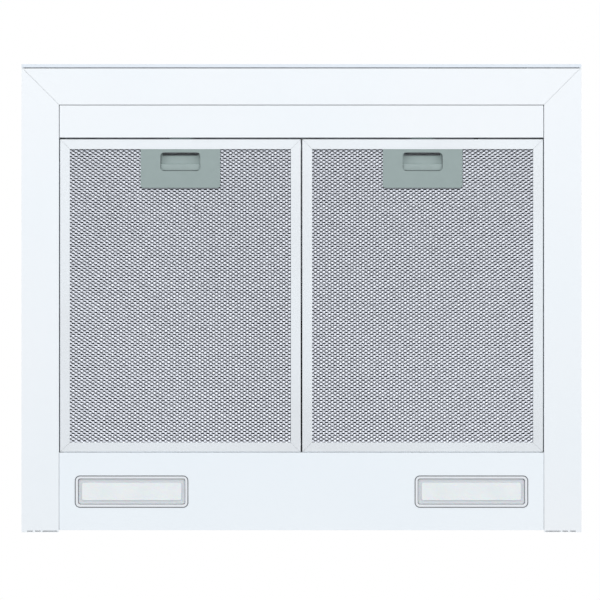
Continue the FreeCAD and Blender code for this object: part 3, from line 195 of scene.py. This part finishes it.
class Finish:
    """A Principled material whose colour, gloss and relief vary by procedural layers."""

    def __init__(self, name, colour, roughness, metallic=0.0, **sockets):
        self.material = bpy.data.materials.new(name)
        self.material.use_nodes = True
        self.tree = self.material.node_tree
        self.shader = self.tree.nodes["Principled BSDF"]
        self.colour = colour
        self.relief = None
        self.shader.inputs["Base Color"].default_value = (*colour, 1)
        self.shader.inputs["Roughness"].default_value = roughness
        self.shader.inputs["Metallic"].default_value = metallic
        for socket, value in sockets.items():
            self.shader.inputs[socket.replace("_", " ")].default_value = value
        self.place = self.node("ShaderNodeTexCoord").outputs["Object"]

    def node(self, kind, **settings):
        made = self.tree.nodes.new(kind)
        for key, value in settings.items():
            setattr(made, key, value)
        return made

    def link(self, output, socket):
        self.tree.links.new(output, socket)

    def placed(self, size, stretch):
        """The object's coordinates, scaled so that one unit is the given size along each axis."""
        mapping = self.node("ShaderNodeMapping")
        mapping.inputs["Scale"].default_value = [1 / (size * s) for s in stretch]
        self.link(self.place, mapping.inputs["Vector"])
        return mapping.outputs["Vector"]

    def noise(self, size, stretch=(1, 1, 1), detail=3.0):
        """Soft blotches of about that size."""
        texture = self.node("ShaderNodeTexNoise")
        texture.inputs["Scale"].default_value = 1
        texture.inputs["Detail"].default_value = detail
        self.link(self.placed(size, stretch), texture.inputs["Vector"])
        return texture.outputs["Fac"]

    def crystals(self, size):
        """Flat cells of about that size, each with a random shade, as on zinc."""
        texture = self.node("ShaderNodeTexVoronoi")
        texture.inputs["Scale"].default_value = 1
        self.link(self.placed(size, (1, 1, 1)), texture.inputs["Vector"])
        split = self.node("ShaderNodeSeparateColor")
        self.link(texture.outputs["Color"], split.inputs["Color"])
        return split.outputs["Red"]

    def height(self, low, high):
        """0 at the low height of the frame and 1 at the high one, for a part that doesn't turn."""
        split = self.node("ShaderNodeSeparateXYZ")
        self.link(self.place, split.inputs["Vector"])
        return self.ranged(split.outputs["Z"], low, high, 0, 1)

    def tint(self, factor, other, low=0.3, high=0.7):
        """Mixes in another colour where the factor is high."""
        mix = self.node("ShaderNodeMix", data_type="RGBA")
        before = self.shader.inputs["Base Color"]
        if before.is_linked:
            self.link(before.links[0].from_socket, mix.inputs[6])
        else:
            mix.inputs[6].default_value = (*self.colour, 1)
        mix.inputs[7].default_value = (*other, 1)
        self.link(self.ranged(factor, low, high, 0, 1), mix.inputs[0])
        self.link(mix.outputs[2], before)
        return self

    def ranged(self, factor, low, high, first, last):
        scale = self.node("ShaderNodeMapRange")
        scale.inputs["From Min"].default_value = low
        scale.inputs["From Max"].default_value = high
        scale.inputs["To Min"].default_value = first
        scale.inputs["To Max"].default_value = last
        self.link(factor, scale.inputs["Value"])
        return scale.outputs["Result"]

    def gloss(self, factor, smooth, rough):
        """Roughness that wanders between two values."""
        self.link(self.ranged(factor, 0.3, 0.7, smooth, rough), self.shader.inputs["Roughness"])
        return self

    def bump(self, factor, depth):
        """Relief of the given depth in metres, on top of any before it."""
        bump = self.node("ShaderNodeBump")
        bump.inputs["Strength"].default_value = 1
        bump.inputs["Distance"].default_value = depth
        self.link(factor, bump.inputs["Height"])
        if self.relief:
            self.link(self.relief, bump.inputs["Normal"])
        self.relief = bump.outputs["Normal"]
        self.link(self.relief, self.shader.inputs["Normal"])
        return self


def enamel(name, colour, shade, hem_painted_shade=None):
    """Satin powder coat: faint orange peel, slow drifts of tone and gloss, and, if a tone is given,
    painted shade on the lowest millimetre or so.
    """
    finish = Finish(name, colour, 0.38)
    finish.tint(finish.noise(0.22, detail=1), shade)
    finish.gloss(finish.noise(0.03), 0.33, 0.42)
    finish.bump(finish.noise(1.6 * MM, detail=2), 0.012 * MM)
    if hem_painted_shade:
        # Painted shade: the lowest millimetre or so turns to the given darker tone, by height.
        under = finish.height(UNDERSIDE + 1.4 * MM, UNDERSIDE + 0.9 * MM)
        finish.tint(under, hem_painted_shade, 0, 1)
    return finish.material


def zinc():
    finish = Finish("zinc_coat", (0.66, 0.68, 0.7), 0.38, 0.85)
    finish.tint(finish.crystals(7 * MM), (0.52, 0.54, 0.56), 0, 1)
    finish.gloss(finish.crystals(6 * MM), 0.3, 0.46)
    finish.bump(finish.noise(0.8 * MM), 0.01 * MM)
    return finish.material


def satin_aluminium():
    """Anodised rails: fine bead-blasted grain, a little streaked."""
    finish = Finish("satin_aluminium", (0.905, 0.95, 0.99), 0.42, 0.6)
    finish.tint(finish.noise(0.12, detail=1), (0.86, 0.895, 0.93))
    finish.gloss(finish.noise(1.2 * MM), 0.36, 0.5)
    finish.bump(finish.noise(0.25 * MM, detail=2), 0.006 * MM)
    return finish.material


def bright_mesh(name, colour, shade):
    """Slit and stretched aluminium foil: bright, with scuffs from strand to strand."""
    finish = Finish(name, colour, 0.3, 0.55)
    finish.tint(finish.noise(2.5 * MM, detail=1), shade)
    finish.gloss(finish.noise(1.5 * MM), 0.24, 0.42)
    return finish.material


def moulded(name, colour, shade, roughness, grain=0.35 * MM, depth=0.012 * MM):
    """Moulded plastic with spark-eroded grain."""
    finish = Finish(name, colour, roughness)
    finish.tint(finish.noise(9 * MM, detail=2), shade)
    finish.gloss(finish.noise(2 * MM), roughness - 0.05, roughness + 0.07)
    finish.bump(finish.noise(grain, detail=2), depth)
    return finish.material


def turned_steel(name, colour, roughness, stretch):
    """Ground or drawn steel with marks along one direction."""
    finish = Finish(name, colour, roughness, 1.0)
    finish.tint(finish.noise(0.4 * MM, stretch), tuple(0.8 * c for c in colour))
    finish.gloss(finish.noise(0.5 * MM, stretch), roughness - 0.08, roughness + 0.12)
    finish.bump(finish.noise(0.2 * MM, stretch), 0.006 * MM)
    return finish.material


def frosted():
    """Frosted lamp cover, milky and softly glossy, with painted shade: greyer where it sits deeper,
    towards its recessed edge, by height.
    """
    finish = Finish(
        "frosted_cover", linear(238, 242, 244), 0.32, Subsurface_Weight=0.15, Subsurface_Scale=4 * MM)
    finish.tint(finish.noise(0.02, detail=1), linear(234, 239, 241))
    # Painted shade: the lens grows greyer the deeper it lies, by height.
    shoulder_painted_shade = finish.height(UNDERSIDE + 1.7 * MM, UNDERSIDE + 2.7 * MM)
    finish.tint(shoulder_painted_shade, linear(216, 219, 223), 0, 1)
    finish.gloss(finish.noise(1 * MM), 0.28, 0.4)
    return finish.material


def make_finishes():
    return {
        "white_enamel": enamel("white_enamel", linear(242, 246, 250), linear(239, 245, 250)),
        # The fascia's bottom edge is tinted darker: painted shade.
        "fascia_enamel": enamel(
            "fascia_enamel", linear(243, 246, 250), linear(240, 244, 249), hem_painted_shade=linear(226, 234, 243)),
        "white_panel": enamel("white_panel_enamel", linear(242, 248, 253), linear(239, 246, 252)),
        "zinc_steel": zinc(),
        "filter_aluminium": satin_aluminium(),
        "mesh_aluminium": bright_mesh("bright_mesh", (0.665, 0.69, 0.75), (0.51, 0.53, 0.58)),
        # The middle layer is the same aluminium, darkened: painted shade for the light the outer layer
        # blocks.
        "core_aluminium": bright_mesh("core_mesh_painted_shade", (0.19, 0.197, 0.22), (0.125, 0.13, 0.147)),
        "back_aluminium": bright_mesh("back_mesh", (0.58, 0.595, 0.625), (0.465, 0.477, 0.505)),
        "latch_plastic": moulded("latch_grey_green", linear(151, 166, 165), linear(148, 163, 162), 0.42),
        # The sliders' plastic is a lighter copy of the latch plastic: painted light that lifts the shade
        # in their recesses.
        "slider_plastic_painted_light": moulded("slider_grey_green_painted_light", linear(163, 178, 177), linear(159, 174, 173), 0.42),
        "spring_steel": turned_steel("spring_wire", (0.62, 0.62, 0.62), 0.3, (1, 1, 1)),
        "bezel_plastic": moulded("bezel_grey", linear(234, 237, 241), linear(230, 234, 239), 0.34),
        "frosted_lens": frosted(),
        "circuit_board": moulded("board_mask", (0.82, 0.85, 0.8), (0.78, 0.81, 0.76), 0.4),
        "black_plastic": moulded("black_moulding", (0.022, 0.022, 0.024), (0.03, 0.03, 0.032), 0.45),
        "grey_plastic": moulded("grey_moulding", (0.17, 0.175, 0.18), (0.14, 0.145, 0.15), 0.42),
        "motor_steel": turned_steel("motor_can", (0.33, 0.34, 0.36), 0.45, (1, 1, 0.2)),
        "shaft_steel": turned_steel("ground_steel", (0.6, 0.6, 0.61), 0.25, (1, 1, 0.2)),
        "rubber": moulded("soft_rubber", (0.018, 0.018, 0.019), (0.028, 0.028, 0.029), 0.75),
        "mark_ink": moulded("mark_ink", (0.06, 0.065, 0.07), (0.075, 0.08, 0.085), 0.5),
        # Painted shadow: the dark ring in each lamp's gap.
        "painted_shadow_ring": moulded("painted_shadow_ring", (0.1, 0.11, 0.125), (0.13, 0.14, 0.155), 0.7),
        "white_plastic": moulded("white_moulding", linear(236, 239, 241), linear(231, 234, 237), 0.34),
        "screw_steel": turned_steel("zinc_screw", (0.72, 0.73, 0.74), 0.3, (1, 1, 1)),
        "lead_sleeve": moulded("lead_sleeve", (0.03, 0.03, 0.032), (0.045, 0.045, 0.047), 0.55),
    }


# ---------------------------------------------------------------- sheet edges

SHEET_NODES = (
    "canopy_shell", "left_side_panel", "right_side_panel", "front_cross_rail", "lamp_panel",
    "front_fascia",
)


def soften_edges(item, width, angle=35):
    """Rounds a node's sharp edges with modifiers, and shades its flats flat and its curves smooth."""
    weld = item.modifiers.new("Weld", "WELD")
    weld.merge_threshold = 1e-6
    if item.name in SHEET_NODES:
        flats = item.modifiers.new("Flats", "DECIMATE")
        flats.decimate_type = "DISSOLVE"
        flats.angle_limit = math.radians(0.5)
    bevel = item.modifiers.new("Bevel", "BEVEL")
    bevel.width = width
    bevel.segments = 2
    bevel.limit_method = "ANGLE"
    bevel.angle_limit = math.radians(angle)
    bevel.use_clamp_overlap = True
    shade = item.modifiers.new("WeightedNormal", "WEIGHTED_NORMAL")
    shade.keep_sharp = True


EDGE_RADIUS = {
    # millimetres
    "canopy_shell": 0.3, "left_side_panel": 0.3, "right_side_panel": 0.3, "front_cross_rail": 0.3,
    "lamp_panel": 0.3, "front_fascia": 0.3, "button_bezel": 0.3, "left_lamp_bezel": 0.5,
    "right_lamp_bezel": 0.5, "left_latch_plate": 0.3, "right_latch_plate": 0.3,
    "left_latch_slider": 0.25, "right_latch_slider": 0.25, "left_lamp_lens": 1.1, "right_lamp_lens": 1.1,
    "left_filter_frame": 0.25, "right_filter_frame": 0.25, "duct_collar": 0.3, "cable_gland": 0.4,
    **{button: 0.4 for button in BUTTONS},
}

OWN_FINISH = {
    "front_fascia": "fascia_enamel",
    # The latch sliders take a lighter copy of the latch plastic: painted light.
    "left_latch_slider": "slider_plastic_painted_light",
    "right_latch_slider": "slider_plastic_painted_light",
}


def dress_nodes(finishes):
    """Gives every carried-over node the finish of its slot, and softens the edges that show."""
    slots = {part["node"]: part["material_slot"] for part in frame["record"]["subparts"]}
    for name, item in nodes.items():
        item.data.materials.clear()
        item.data.materials.append(finishes[OWN_FINISH.get(name, slots[name])])
    for name, radius in EDGE_RADIUS.items():
        soften_edges(nodes[name], radius * MM)


# ---------------------------------------------------------------- expanded mesh

CELL = 6.0 * MM
RISE = 1.96 * MM
STRAND = 1.1 * MM
KNOT = 1.5 * MM
FOIL = 0.4 * MM
TILT = 0.5 * MM
SHEET_MARGIN = 2 * MM
LATCH_HALF = 24 * MM


def strand_points(low_x, high_x, row):
    """Points along one zigzag strand: flat at each knot, sloping between."""
    swing = (RISE - STRAND) / 2
    start = -CELL / 2 if row % 2 else 0
    count = int((high_x - low_x) / CELL) + 3
    points = []
    for i in range(-1, count):
        x = low_x + i * CELL + start
        points += [(x - KNOT / 2, swing), (x + KNOT / 2, swing)]
        x += CELL / 2
        points += [(x - KNOT / 2, -swing), (x + KNOT / 2, -swing)]
    return points


def runs_of(flags):
    """The stretches of True in a list, as (first, last + 1)."""
    start = None
    for i, flag in enumerate(flags + [False]):
        if flag and start is None:
            start = i
        if not flag and start is not None:
            if i - start > 1:
                yield start, i
            start = None


def expanded_sheet(name, low, high, base, turn, stretch, hole, finish):
    """One layer of expanded metal in the rectangle low-high, leaving out the hole.
    It is turned and stretched about the rear right corner, where the layers lie strand on strand."""
    vertices, faces = [], []
    cos, sin = math.cos(turn), math.sin(turn)
    reach_x = CELL * math.ceil((high[0] - low[0]) / CELL + 2)
    reach_y = RISE * math.ceil((high[1] - low[1]) / RISE + 4)
    rows = int(reach_y / RISE) + 4

    def world(x, y):
        x, y = x * stretch, y * stretch
        return high[0] + x * cos - y * sin, high[1] + x * sin + y * cos

    def allowed(x, y):
        if not (low[0] < x < high[0] and low[1] < y < high[1]):
            return False
        return not (hole[0] < x < hole[2] and hole[1] < y < hole[3])

    section = ((-STRAND / 2, TILT), (STRAND / 2, 0.0), (STRAND / 2 - FOIL * 0.4, FOIL))
    for row in range(rows):
        centre = -reach_y + row * RISE
        points = [(x, centre + y) for x, y in strand_points(-reach_x, 2 * CELL, row)]
        flags = [allowed(*world(x, y)) for x, y in points]
        for start, end in runs_of(flags):
            first = len(vertices)
            for x, y in points[start:end]:
                for across, up in section:
                    vertices.append((*world(x, y + across), base + up))
            for i in range(end - start - 1):
                a = first + 3 * i
                for k in range(3):
                    n = (k + 1) % 3
                    faces.append((a + k, a + n, a + 3 + n, a + 3 + k))
            last = len(vertices) - 3
            faces.append((first + 2, first + 1, first))
            faces.append((last, last + 1, last + 2))
    return new_item(name, vertices, faces, finish)


LAYERS = (
    # node, piece, finish, height over the frame's face, turn in degrees, stretch
    ("filter_mesh", "mesh_face", "mesh_aluminium", 0.9, 0.0, 1.0),
    # The middle layer's finish is darkened aluminium: painted shade.
    ("filter_core", "mesh_middle", "core_aluminium", 2.7, 0.15, 1.003),
    ("filter_core", "mesh_back", "back_aluminium", 6.2, -0.7, 1.015),
)


def add_meshes(finishes):
    """Stretched-foil layers in place of each filter's plain sheets."""
    for side in SIDES:
        frame_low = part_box(f"{side}_filter_frame")[0]
        plate_low, plate_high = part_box(f"{side}_latch_plate")
        middle = (plate_low.x + plate_high.x) / 2
        hole = (middle - LATCH_HALF, frame_low.y, middle + LATCH_HALF, plate_high.y)
        for node, piece, finish, level, turn, stretch in LAYERS:
            sheet_low, sheet_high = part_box(f"{side}_{node}")
            low = (sheet_low.x + SHEET_MARGIN, sheet_low.y + SHEET_MARGIN)
            high = (sheet_high.x - SHEET_MARGIN, sheet_high.y - SHEET_MARGIN)
            base = frame_low.z + level * MM
            sheet = expanded_sheet(
                f"{side}_{piece}", low, high, base, math.radians(turn), stretch, hole,
                finishes[finish])
            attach(sheet, f"{side}_filter")
            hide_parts(f"{side}_{node}")


# ---------------------------------------------------------------- solids from outlines

def rounded_loop(low_x, low_y, high_x, high_y, radius, steps=8):
    """Points round a rectangle with round corners, the same number for any size."""
    corners = (
        (high_x - radius, high_y - radius), (low_x + radius, high_y - radius),
        (low_x + radius, low_y + radius), (high_x - radius, low_y + radius),
    )
    points = []
    for quarter, (x, y) in enumerate(corners):
        for i in range(steps + 1):
            turn = math.radians(90 * (quarter + i / steps))
            points.append((x + radius * math.cos(turn), y + radius * math.sin(turn)))
    return points


def bridge(faces, here, there, count):
    """Four-sided faces between two loops of as many points."""
    for i in range(count):
        n = (i + 1) % count
        faces.append((here + i, here + n, there + n, there + i))


def new_item(name, vertices, faces, finish):
    mesh = bpy.data.meshes.new(name)
    mesh.from_pydata(vertices, [], faces)
    mesh.update()
    item = bpy.data.objects.new(name, mesh)
    item.data.materials.append(finish)
    bpy.context.scene.collection.objects.link(item)
    return item


def closed_ring(name, loops, finish):
    """A solid ring from loops of points, each joined to the next and the last to the first."""
    count = len(loops[0])
    vertices = [point for loop in loops for point in loop]
    faces = []
    for k in range(len(loops)):
        bridge(faces, k * count, (k + 1) % len(loops) * count, count)
    return new_item(name, vertices, faces, finish)


# ---------------------------------------------------------------- latch springs

COIL_TURNS = 7
COIL_WIRE = 0.3 * MM     # radius
COIL_STEPS = 28
WIRE_SIDES = 10


def coil_height(turn, length):
    """How far along a coil is after that many turns: its end turns lie closed, the others are open."""
    closed = 2 * COIL_WIRE
    last = COIL_TURNS - 1
    open_pitch = (length - 4 * COIL_WIRE - closed) / (COIL_TURNS - 2)
    closed_turns = min(turn, 1) + max(turn - last, 0)
    open_turns = min(max(turn - 1, 0), last - 1)
    return COIL_WIRE + closed * closed_turns + open_pitch * open_turns


def coil_spring(name, centre, length, radius, finish):
    """A compression spring from the centre of its front end along +Y, as a round wire on its helix."""
    line = []
    for i in range(COIL_TURNS * COIL_STEPS + 1):
        turn = i / COIL_STEPS
        angle = math.tau * turn
        y = coil_height(turn, length)
        line.append(Vector((radius * math.sin(angle), y, radius * math.cos(angle))))
    vertices, faces = [], []
    for i, point in enumerate(line):
        along = (line[min(i + 1, len(line) - 1)] - line[max(i - 1, 0)]).normalized()
        out = Vector((point.x, 0, point.z)).normalized()
        side = along.cross(out)
        for k in range(WIRE_SIDES):
            turn = math.tau * k / WIRE_SIDES
            across = out * math.cos(turn) + side * math.sin(turn)
            vertices.append(centre + point + COIL_WIRE * across)
        if i:
            bridge(faces, (i - 1) * WIRE_SIDES, i * WIRE_SIDES, WIRE_SIDES)
    faces.append(tuple(reversed(range(WIRE_SIDES))))
    faces.append(tuple(range(len(vertices) - WIRE_SIDES, len(vertices))))
    return new_item(name, vertices, faces, finish)


def add_latch_springs(finishes):
    """Each latch's spring, as a round-wire coil in place of the frame's plain one."""
    joints = {joint["name"]: joint for joint in frame["joints"]}
    for side in SIDES:
        spring_low, spring_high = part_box(f"{side}_latch_spring")
        middle = (spring_low + spring_high) / 2
        length = spring_high.y - spring_low.y
        radius = (spring_high.x - spring_low.x) / 2 - COIL_WIRE
        front = Vector((middle.x, spring_low.y, middle.z))
        coil = coil_spring(
            f"{side}_latch_coil", front, length, radius, finishes["spring_steel"])
        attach(coil, f"{side}_filter")
        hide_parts(f"{side}_latch_spring")
        slide = f"{side}_latch_slide"
        keep = 1 - max(joints[slide]["range_m"]) / length
        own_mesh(coil)


# ---------------------------------------------------------------- lamp shadow rings, painted shadow

BEZEL_CORNER = 5 * MM
BEZEL_FLANGE = 3 * MM
SHADOW_RING_HALF = 0.4 * MM
SHADOW_RING_DEEP = 0.8 * MM
SHADOW_RING_PROUD = 0.2 * MM


def add_lamp_shadow_rings(finishes):
    """A thin dark ring over the gap between each lamp's ring and the panel: painted shadow for the gap."""
    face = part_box("lamp_panel")[0].z
    inner, outer = face + SHADOW_RING_DEEP, face - SHADOW_RING_PROUD
    profile = ((-SHADOW_RING_HALF, inner), (-SHADOW_RING_HALF, outer), (SHADOW_RING_HALF, outer), (SHADOW_RING_HALF, inner))
    for side in SIDES:
        lens_low, lens_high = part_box(f"{side}_lamp_lens")
        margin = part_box(f"{side}_lamp_bezel")[1].x - lens_high.x - BEZEL_FLANGE
        loops = []
        for grow, z in profile:
            reach = margin + grow
            outline = rounded_loop(
                lens_low.x - reach, lens_low.y - reach, lens_high.x + reach, lens_high.y + reach,
                BEZEL_CORNER + grow)
            loops.append([(x, y, z) for x, y in outline])
        # Painted shadow: a dark ring where the gap between bezel and panel falls into shade.
        seal = closed_ring(f"{side}_lamp_shadow_ring", loops, finishes["painted_shadow_ring"])
        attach(seal, "hood")


# ---------------------------------------------------------------- screws

RING_STEPS = 24
RIM_SHARE = 0.9
SHANK_SHARE = 0.47
TIP_SHARE = 0.6
TIP_LENGTH = 0.6 * MM
# rings of the head, as shares of its radius and height
HEAD_RINGS = ((1, 0), (1, 0.45), (0.93, 0.75), (0.72, 0.97))
CROSS_DEEP = 0.9 * MM
CROSS_TOP = (1.666 * MM, 0.42 * MM)
CROSS_FOOT = (1.02 * MM, 0.336 * MM)
SCREW_TURN = 0.7


def islands(item):
    """The separate solids of a node, each as (lowest corner, highest corner, points)."""
    groups, parent = {}, {}

    def root(key):
        while parent[key] != key:
            key = parent[key]
        return key

    keys = [tuple(round(c, 6) for c in v.co) for v in item.data.vertices]
    for key in keys:
        parent[key] = key
    for face in item.data.polygons:
        first = root(keys[face.vertices[0]])
        for index in face.vertices[1:]:
            parent[root(keys[index])] = first
    for key in keys:
        groups.setdefault(root(key), []).append(key)
    for points in groups.values():
        low = Vector([min(p[i] for p in points) for i in range(3)])
        high = Vector([max(p[i] for p in points) for i in range(3)])
        yield low, high, points


def screw_axis(low, high, points):
    """Seat centre, way that the head faces, radius and height of the head, length of the shank."""
    size = high - low
    axis = max(range(3), key=lambda i: size[i])
    others = [i for i in range(3) if i != axis]
    middle = (low + high) / 2
    radius = size[others[0]] / 2

    def reach(p):
        return math.hypot(*(p[i] - middle[i] for i in others))

    rim = [p[axis] for p in points if reach(p) > radius * RIM_SHARE]
    head_low, head_high = min(rim), max(rim)
    up = abs(head_high - high[axis]) < abs(head_low - low[axis])
    seat = middle.copy()
    seat[axis] = head_low if up else head_high
    facing = Vector((0, 0, 0))
    facing[axis] = 1 if up else -1
    tall = head_high - head_low
    return seat, facing, radius, tall, size[axis] - tall


def circle_points(radius, height):
    turns = [math.tau * i / RING_STEPS for i in range(RING_STEPS)]
    return [(radius * math.cos(turn), radius * math.sin(turn), height) for turn in turns]


def cross_points(height, arm, half):
    """A cross with as many points as a circle here, starting on the +X arm."""
    mid = (arm + half) / 2
    outline = ((arm, 0), (arm, half), (mid, half), (half, half), (half, mid), (half, arm))
    points = []
    for cos, sin in ((1, 0), (0, 1), (-1, 0), (0, -1)):
        points += [(x * cos - y * sin, x * sin + y * cos, height) for x, y in outline]
    return points


def pan_head(radius, tall, shank):
    """A screw facing +Z with its seat at the origin: domed head, cross recess, shank and tip."""
    neck = SHANK_SHARE * radius
    loops = [
        circle_points(TIP_SHARE * neck, -shank), circle_points(neck, TIP_LENGTH - shank),
        circle_points(neck, 0)]
    loops += [circle_points(wide * radius, high * tall) for wide, high in HEAD_RINGS]
    loops += [cross_points(tall, *CROSS_TOP), cross_points(tall - CROSS_DEEP, *CROSS_FOOT)]
    vertices = [point for loop in loops for point in loop]
    faces = [tuple(reversed(range(RING_STEPS)))]
    for k in range(len(loops) - 1):
        bridge(faces, k * RING_STEPS, (k + 1) * RING_STEPS, RING_STEPS)
    last = (len(loops) - 1) * RING_STEPS
    faces.append(tuple(range(last, last + RING_STEPS)))
    return vertices, faces


def add_screws(finishes):
    """Every pan-head screw of the frame, with its head worked out in full."""
    vertices, faces = [], []
    for number, island in enumerate(islands(nodes["pan_head_screws"])):
        seat, facing, radius, tall, shank = screw_axis(*island)
        spin = Matrix.Rotation(SCREW_TURN * number, 3, "Z").to_quaternion()
        turn = facing.to_track_quat("Z", "Y") @ spin
        points, sides = pan_head(radius, tall, shank)
        first = len(vertices)
        vertices += [seat + turn @ Vector(p) for p in points]
        faces += [tuple(first + i for i in side) for side in sides]
    item = new_item("pan_head_screw_set", vertices, faces, finishes["screw_steel"])
    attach(item, "hood")
    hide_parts("pan_head_screws")


# ---------------------------------------------------------------- button marks

BAR_WIDTH, BAR_TALL, BAR_PITCH = 0.8 * MM, 3.4 * MM, 1.9 * MM
BLOCK_HALF, BLOCK_CORNER = 1.5 * MM, 0.3 * MM
DOT_RADIUS = 1.3 * MM
RAYS, RAY_REACH, RAY_RADIUS = 8, 2.6 * MM, 0.3 * MM
MARK_THICK = 0.12 * MM
DISH_DEPTH = 0.4 * MM
MARK_SINK = 0.01 * MM
BARS = {"low_button": 1, "medium_button": 2, "high_button": 3}


def upright_prism(outline, front):
    """A flat raised mark from (x, z) points, standing on the plane y = front."""
    count = len(outline)
    vertices = [(x, y, z) for y in (front, front - MARK_THICK) for x, z in outline]
    faces = [tuple(reversed(range(count))), tuple(range(count, 2 * count))]
    bridge(faces, 0, count, count)
    return vertices, faces


def disc(x, z, radius, count):
    turns = [math.tau * i / count for i in range(count)]
    return [(x + radius * math.cos(turn), z + radius * math.sin(turn)) for turn in turns]


def block(x, z, half_x, half_z, corner):
    return rounded_loop(x - half_x, z - half_z, x + half_x, z + half_z, corner)


def bar_outlines(x, z, count):
    """That many upright bars side by side, with round ends."""
    for i in range(count):
        middle = x + BAR_PITCH * (i - (count - 1) / 2)
        yield block(middle, z, BAR_WIDTH / 2, BAR_TALL / 2, BAR_WIDTH * 0.49)


def mark_outlines(button, x, z):
    """Plain marks: bars for the speeds, a small block for off and a dot with rays for the light."""
    if button in BARS:
        return list(bar_outlines(x, z, BARS[button]))
    if button == "off_button":
        return [block(x, z, BLOCK_HALF, BLOCK_HALF, BLOCK_CORNER)]
    rays = [disc(ray_x, ray_z, RAY_RADIUS, 12) for ray_x, ray_z in disc(x, z, RAY_REACH, RAYS)]
    return [disc(x, z, DOT_RADIUS, 32)] + rays


def add_button_marks(finishes):
    """The mark in the dish of each button, sinking a little into its face."""
    for button in BUTTONS:
        low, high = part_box(button)
        x, z = (low.x + high.x) / 2, (low.z + high.z) / 2
        vertices, faces = [], []
        for outline in mark_outlines(button, x, z):
            points, sides = upright_prism(outline, low.y + DISH_DEPTH + MARK_SINK)
            first = len(vertices)
            vertices += points
            faces += [tuple(first + i for i in side) for side in sides]
        mark = new_item(f"{button}_mark", vertices, faces, finishes["mark_ink"])
        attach(mark, button)


# ---------------------------------------------------------------- assembly

add_stage()
add_camera()
FINISHES = make_finishes()
dress_nodes(FINISHES)
add_meshes(FINISHES)
add_latch_springs(FINISHES)
add_lamp_shadow_rings(FINISHES)
add_screws(FINISHES)
add_button_marks(FINISHES)
